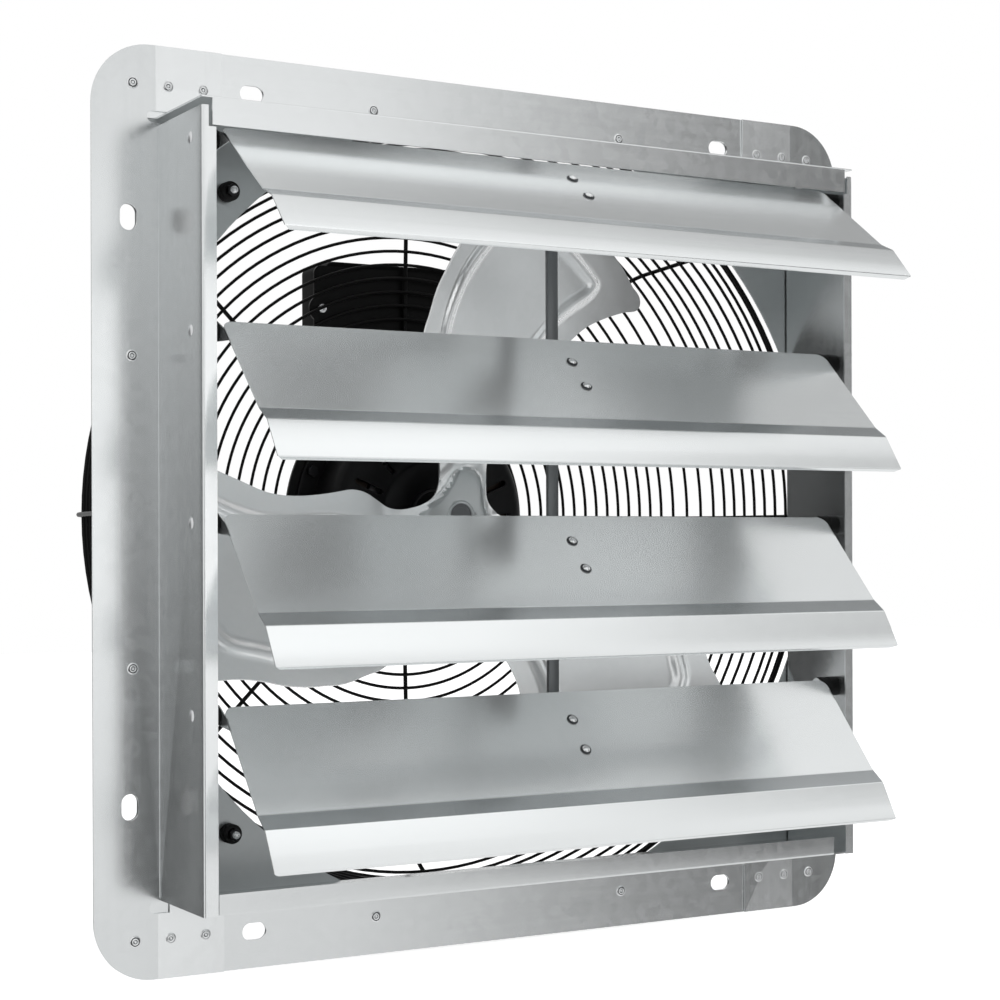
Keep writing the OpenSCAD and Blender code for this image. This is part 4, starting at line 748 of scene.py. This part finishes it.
set_piece("motor_front_cover", motor_shell(motor_face, plate_front, True), motor_black, "housing",
          ["motor_front_shell"], sharp=35)
set_piece("motor_rear_cover", motor_shell(motor_back, plate_front + plate_t, False), motor_black, "housing",
          ["motor_rear_shell"], sharp=35)
core_steel = sheet_finish("core steel", (0.4, 0.4, 0.41), 0.5, along=(200, 20, 200))
copper_wire = sheet_finish("varnished copper", (0.018, 0.01, 0.006), 0.45, metal=0.5, streaks=0.3,
                           along=(90, 300, 90))
turned_steel = sheet_finish("turned steel", (0.55, 0.56, 0.57), 0.3, streaks=0.1, along=(260, 10, 260))
dull_steel = sheet_finish("dull turned steel", (0.16, 0.165, 0.17), 0.42, streaks=0.25, along=(300, 20, 300))
for name, finish in (("motor_bolts", nut_black), ("stator_core", core_steel), ("stator_windings", copper_wire),
                     ("rotor_core", core_steel), ("shaft", dull_steel), ("bearings", turned_steel),
                     ("fan_sleeve", dull_steel), ("set_screw", nut_black)):
    coat(name, finish)

# The fan wheel: three blades and their arms stamped from one aluminium sheet and curved, with a raised
# bead round each blade and a raised star in the middle, painted darker than the blades as painted
# shade. A collar in the star goes round the shaft.
wheel_r = 250.0
blade_t = 1.5
blade_rise = 20.0
blade_curve = 800.0
blade_crown = 391.0
edge_across = Vector((0.8599, -0.5105))
trail_low = Vector((-51, 126))
hub_depth = 61.0
hub_flat_r, blade_full_r = 28, 58
star_reach = 40
star_rise, star_slope = 1.6, 1.4
bead_rise, bead_half, bead_foot = 2.6, 1.2, 5.6
shaft_hole_r = 9.6
grid_step = 2.2
blade_line = [(-17, 33), (-19, 43), (-26.5, 62), (-37, 84), (-45.5, 104), (-50.3, 119), (-50, 130), (-47.4, 139),
              (-42.6, 158), (-35, 173), (-28.4, 185), (-19, 198), (-8, 210), (2, 224), (9, 237), (17.4, 249.4)]
blade_line += [(wheel_r * math.cos(math.radians(az)), wheel_r * math.sin(math.radians(az)))
               for az in range(83, 47, -3)]
blade_line += [(170.5, 181), (176, 177), (179.5, 173.4), (181, 169), (180, 165), (176.5, 162.3), (170, 161),
               (163, 160), (146, 155), (130, 149), (118, 142.5), (104, 132), (87, 119), (75, 103), (66, 85), (60, 70),
               (56, 60), (49, 52), (39, 47), (31.5, 43.5), (26.2, 37), (23.2, 28), (22, 20), (22.6, 13), (25.5, 7),
               (31.9, 1.2)]
bead_line = [(128, 178), (119, 184.5), (103, 194.5), (86, 202.8), (68, 209.5), (50, 214), (34, 216), (20, 212),
             (9, 200), (-4, 186), (-16, 170), (-24, 152), (-29, 132), (-28, 112), (-22, 92), (-13, 76), (0, 65),
             (16, 63), (32, 71), (45, 88), (55, 107), (66, 126), (78, 140), (92, 152.5), (107, 162.5), (121, 170.5),
             (128, 178)]
star_line = [(-15, 15), (-9, 22), (-6, 28), (-1.5, 33.5), (6, 35), (13, 33), (17, 29), (18.6, 21), (18.8, 14.5)]
collar_profile = [(8.7, 62.5), (8.7, 59.3), (9.2, 58.7), (10.2, 58.6), (11.0, 59.0), (11.6, 60.1), (12.6, 61.2),
                  (12.6, 62.5)]


def eased(points, shares):
    """Points of a smooth open line through the given points."""
    line = [Vector(point) for point in points]
    line = [2 * line[0] - line[1]] + line + [2 * line[-1] - line[-2]]
    made = []
    for before, start, end, after in zip(line, line[1:], line[2:], line[3:]):
        for k in range(shares):
            t = k / shares
            made.append(0.5 * (2 * start + (end - before) * t + (2 * before - 5 * start + 4 * end - after) * t * t
                               + (3 * start - before - 3 * end + after) * t * t * t))
    return made + [line[-2]]


def distance_to(point, line):
    """How far a point is from the nearest stretch of a line."""
    least = 1e9
    for start, end in zip(line, line[1:]):
        span = end - start
        share = max(0.0, min(1.0, (point - start).dot(span) / span.length_squared))
        least = min(least, (point - start - share * span).length)
    return least


def within(point, ring):
    """Whether a point lies inside a closed line."""
    inside = False
    for a, b in zip(ring, ring[1:] + ring[:1]):
        if (a.y > point.y) != (b.y > point.y) and point.x < (b.x - a.x) * (point.y - a.y) / (b.y - a.y) + a.x:
            inside = not inside
    return inside


def eased_step(value, low, high):
    """Rises smoothly from 0 at the low value to 1 at the high one."""
    share = max(0.0, min(1.0, (value - low) / (high - low)))
    return share * share * (3 - 2 * share)


def turned_point(point, degrees):
    """A point of the wheel's plane, turned about its middle."""
    turn = math.radians(degrees)
    return Vector((point[0] * math.cos(turn) - point[1] * math.sin(turn),
                   point[0] * math.sin(turn) + point[1] * math.cos(turn)))


bead = eased(bead_line, 2)
star = [turned_point(point, -120 * k) for k in range(3) for point in star_line]
hole_dots = [(shaft_hole_r * math.cos(math.radians(az)), shaft_hole_r * math.sin(math.radians(az)))
             for az in range(2, 123, 10)]
outline = [turned_point(blade_line[-1], 120)] + eased(blade_line, 3)
sector = [(point[0], point[1]) for point in outline] + hole_dots
blade_shape = bmesh.new()
blade_shape.faces.new([blade_shape.verts.new((x, 0, z)) for x, z in sector])
for along, spread in (((1, 0, 0), [x for x, z in sector]), ((0, 0, 1), [z for x, z in sector])):
    for count in range(1, int((max(spread) - min(spread)) / grid_step) + 1):
        sliced(blade_shape, Vector(along) * (min(spread) + count * grid_step), along)
for vert in blade_shape.verts:
    spot = Vector((vert.co.x, vert.co.z))
    reach = (spot - trail_low).dot(edge_across)
    curved = (blade_rise + math.sqrt(blade_curve ** 2 - (blade_crown - reach) ** 2)
              - math.sqrt(blade_curve ** 2 - blade_crown ** 2))
    blend = eased_step(spot.length, hub_flat_r, blade_full_r)
    depth = hub_depth * (1 - blend) + curved * blend
    if spot.length > star_reach:
        depth -= bead_rise * (1 - eased_step(distance_to(spot, bead), bead_half, bead_foot))
    else:
        side = 1 if within(spot, star) else -1
        depth -= star_rise * eased_step(side * distance_to(spot, star + star[:1]), -star_slope, star_slope)
    vert.co.y = depth
wheel_shape = put_copies(bmesh.new(), blade_shape, round_axis(3))
bmesh.ops.remove_doubles(wheel_shape, verts=wheel_shape.verts, dist=0.02)
thicken(wheel_shape, blade_t)
put_copies(wheel_shape, turned(collar_profile, 48, closed=True), [Matrix.Identity(4)])
wheel_metal = sheet_finish("stamped aluminium", (0.96, 0.975, 0.98), 0.2, metal=0.72, streaks=0.04, spangle=0.02,
                           clouds=0.25, along=(60, 60, 60))
hub_painted_shade = sheet_finish("stamped hub painted shade", (0.5, 0.525, 0.53), 0.3, metal=0.95, streaks=0.04, clouds=0.25,
                         along=(60, 60, 60))
# The star's faces take the darker hub finish, a painted shade.
for face in wheel_shape.faces:
    middle = face.calc_center_median()
    if math.hypot(middle.x, middle.z) < star_reach and within(Vector((middle.x, middle.z)), star):
        face.material_index = 1
set_piece("stamped_wheel", wheel_shape, (wheel_metal, hub_painted_shade), "rotor", ["fan_wheel"], sharp=70)

# The junction box behind the guard: a moulded black box and cover, screwed by its two ears to a flat
# steel bracket. The terminal block and the capacitor are inside it.
box_half = 64.0
box_low = 120.0
box_high = 193.0
box_near = 152.4
box_far = 194.4
box_corner = 6
box_edge = 1.6
box_wall = 2.5
lid_t = 2.5
lid_edge = 1.2
ear_x = 67
ear_half = 8
ear_low, ear_high = 148.5, 164.5
ear_t = 6
ear_corner = 5
ear_edge = 0.8
box_black = sheet_finish("box plastic", (0.003, 0.003, 0.003), 0.55, metal=0.0, shine=0.1, along=(500, 500, 500),
                         rise=0.5)


def moulded_block(half, low, high, near, far, corner, edge):
    """A block with rounded corners, and with a rounded rim on its near side."""
    shape = bmesh.new()
    bmesh.ops.create_cube(shape, size=1)
    bmesh.ops.scale(shape, vec=(2 * half, far - near, high - low), verts=shape.verts)
    bmesh.ops.translate(shape, vec=(0, (near + far) / 2, (low + high) / 2), verts=shape.verts)
    rounded(shape, [item for item in shape.edges if abs(item.verts[0].co.y - item.verts[1].co.y) > 0.5], corner, 6)
    rounded(shape, [item for item in shape.edges if max(abs(end.co.y - near) for end in item.verts) < 0.01], edge, 3)
    return shape


base_shape = moulded_block(box_half, box_low, box_high, box_near, box_far, box_corner, box_edge)
bmesh.ops.delete(base_shape, geom=[face for face in base_shape.faces if face.normal.y > 0.99], context="FACES")
bmesh.ops.solidify(base_shape, geom=base_shape.faces[:], thickness=box_wall)
for side in (-1, 1):
    ear = moulded_block(ear_half, ear_low, ear_high, box_near, box_near + ear_t, ear_corner, ear_edge)
    put_copies(base_shape, ear, [Matrix.Translation((side * ear_x, 0, 0))])
set_piece("box_moulding", base_shape, box_black, "housing", ["box_base"])

# The lid is made on the louvre side and mirrored to the motor side, so that its rounded rim is behind.
lid_blank = moulded_block(box_half, box_low, box_high, -box_far - lid_t, -box_far, box_corner, lid_edge)
lid_shape = put_copies(bmesh.new(), lid_blank, [Matrix.Scale(-1, 4, (0, 1, 0))])
bmesh.ops.reverse_faces(lid_shape, faces=lid_shape.faces)
set_piece("box_lid", lid_shape, box_black, "housing", ["box_cover"])
pale_block = sheet_finish("terminal plastic", (0.72, 0.72, 0.68), 0.5, metal=0.0, along=(90, 90, 90))
grey_case = sheet_finish("capacitor case", (0.1, 0.11, 0.12), 0.45, metal=0.0, along=(90, 90, 90))
for name, finish in (("box_bracket", guard_black), ("box_screws", pin_metal), ("terminal_block", pale_block),
                     ("capacitor", grey_case), ("cable_gland", box_black), ("motor_lead", bush_black)):
    coat(name, finish)
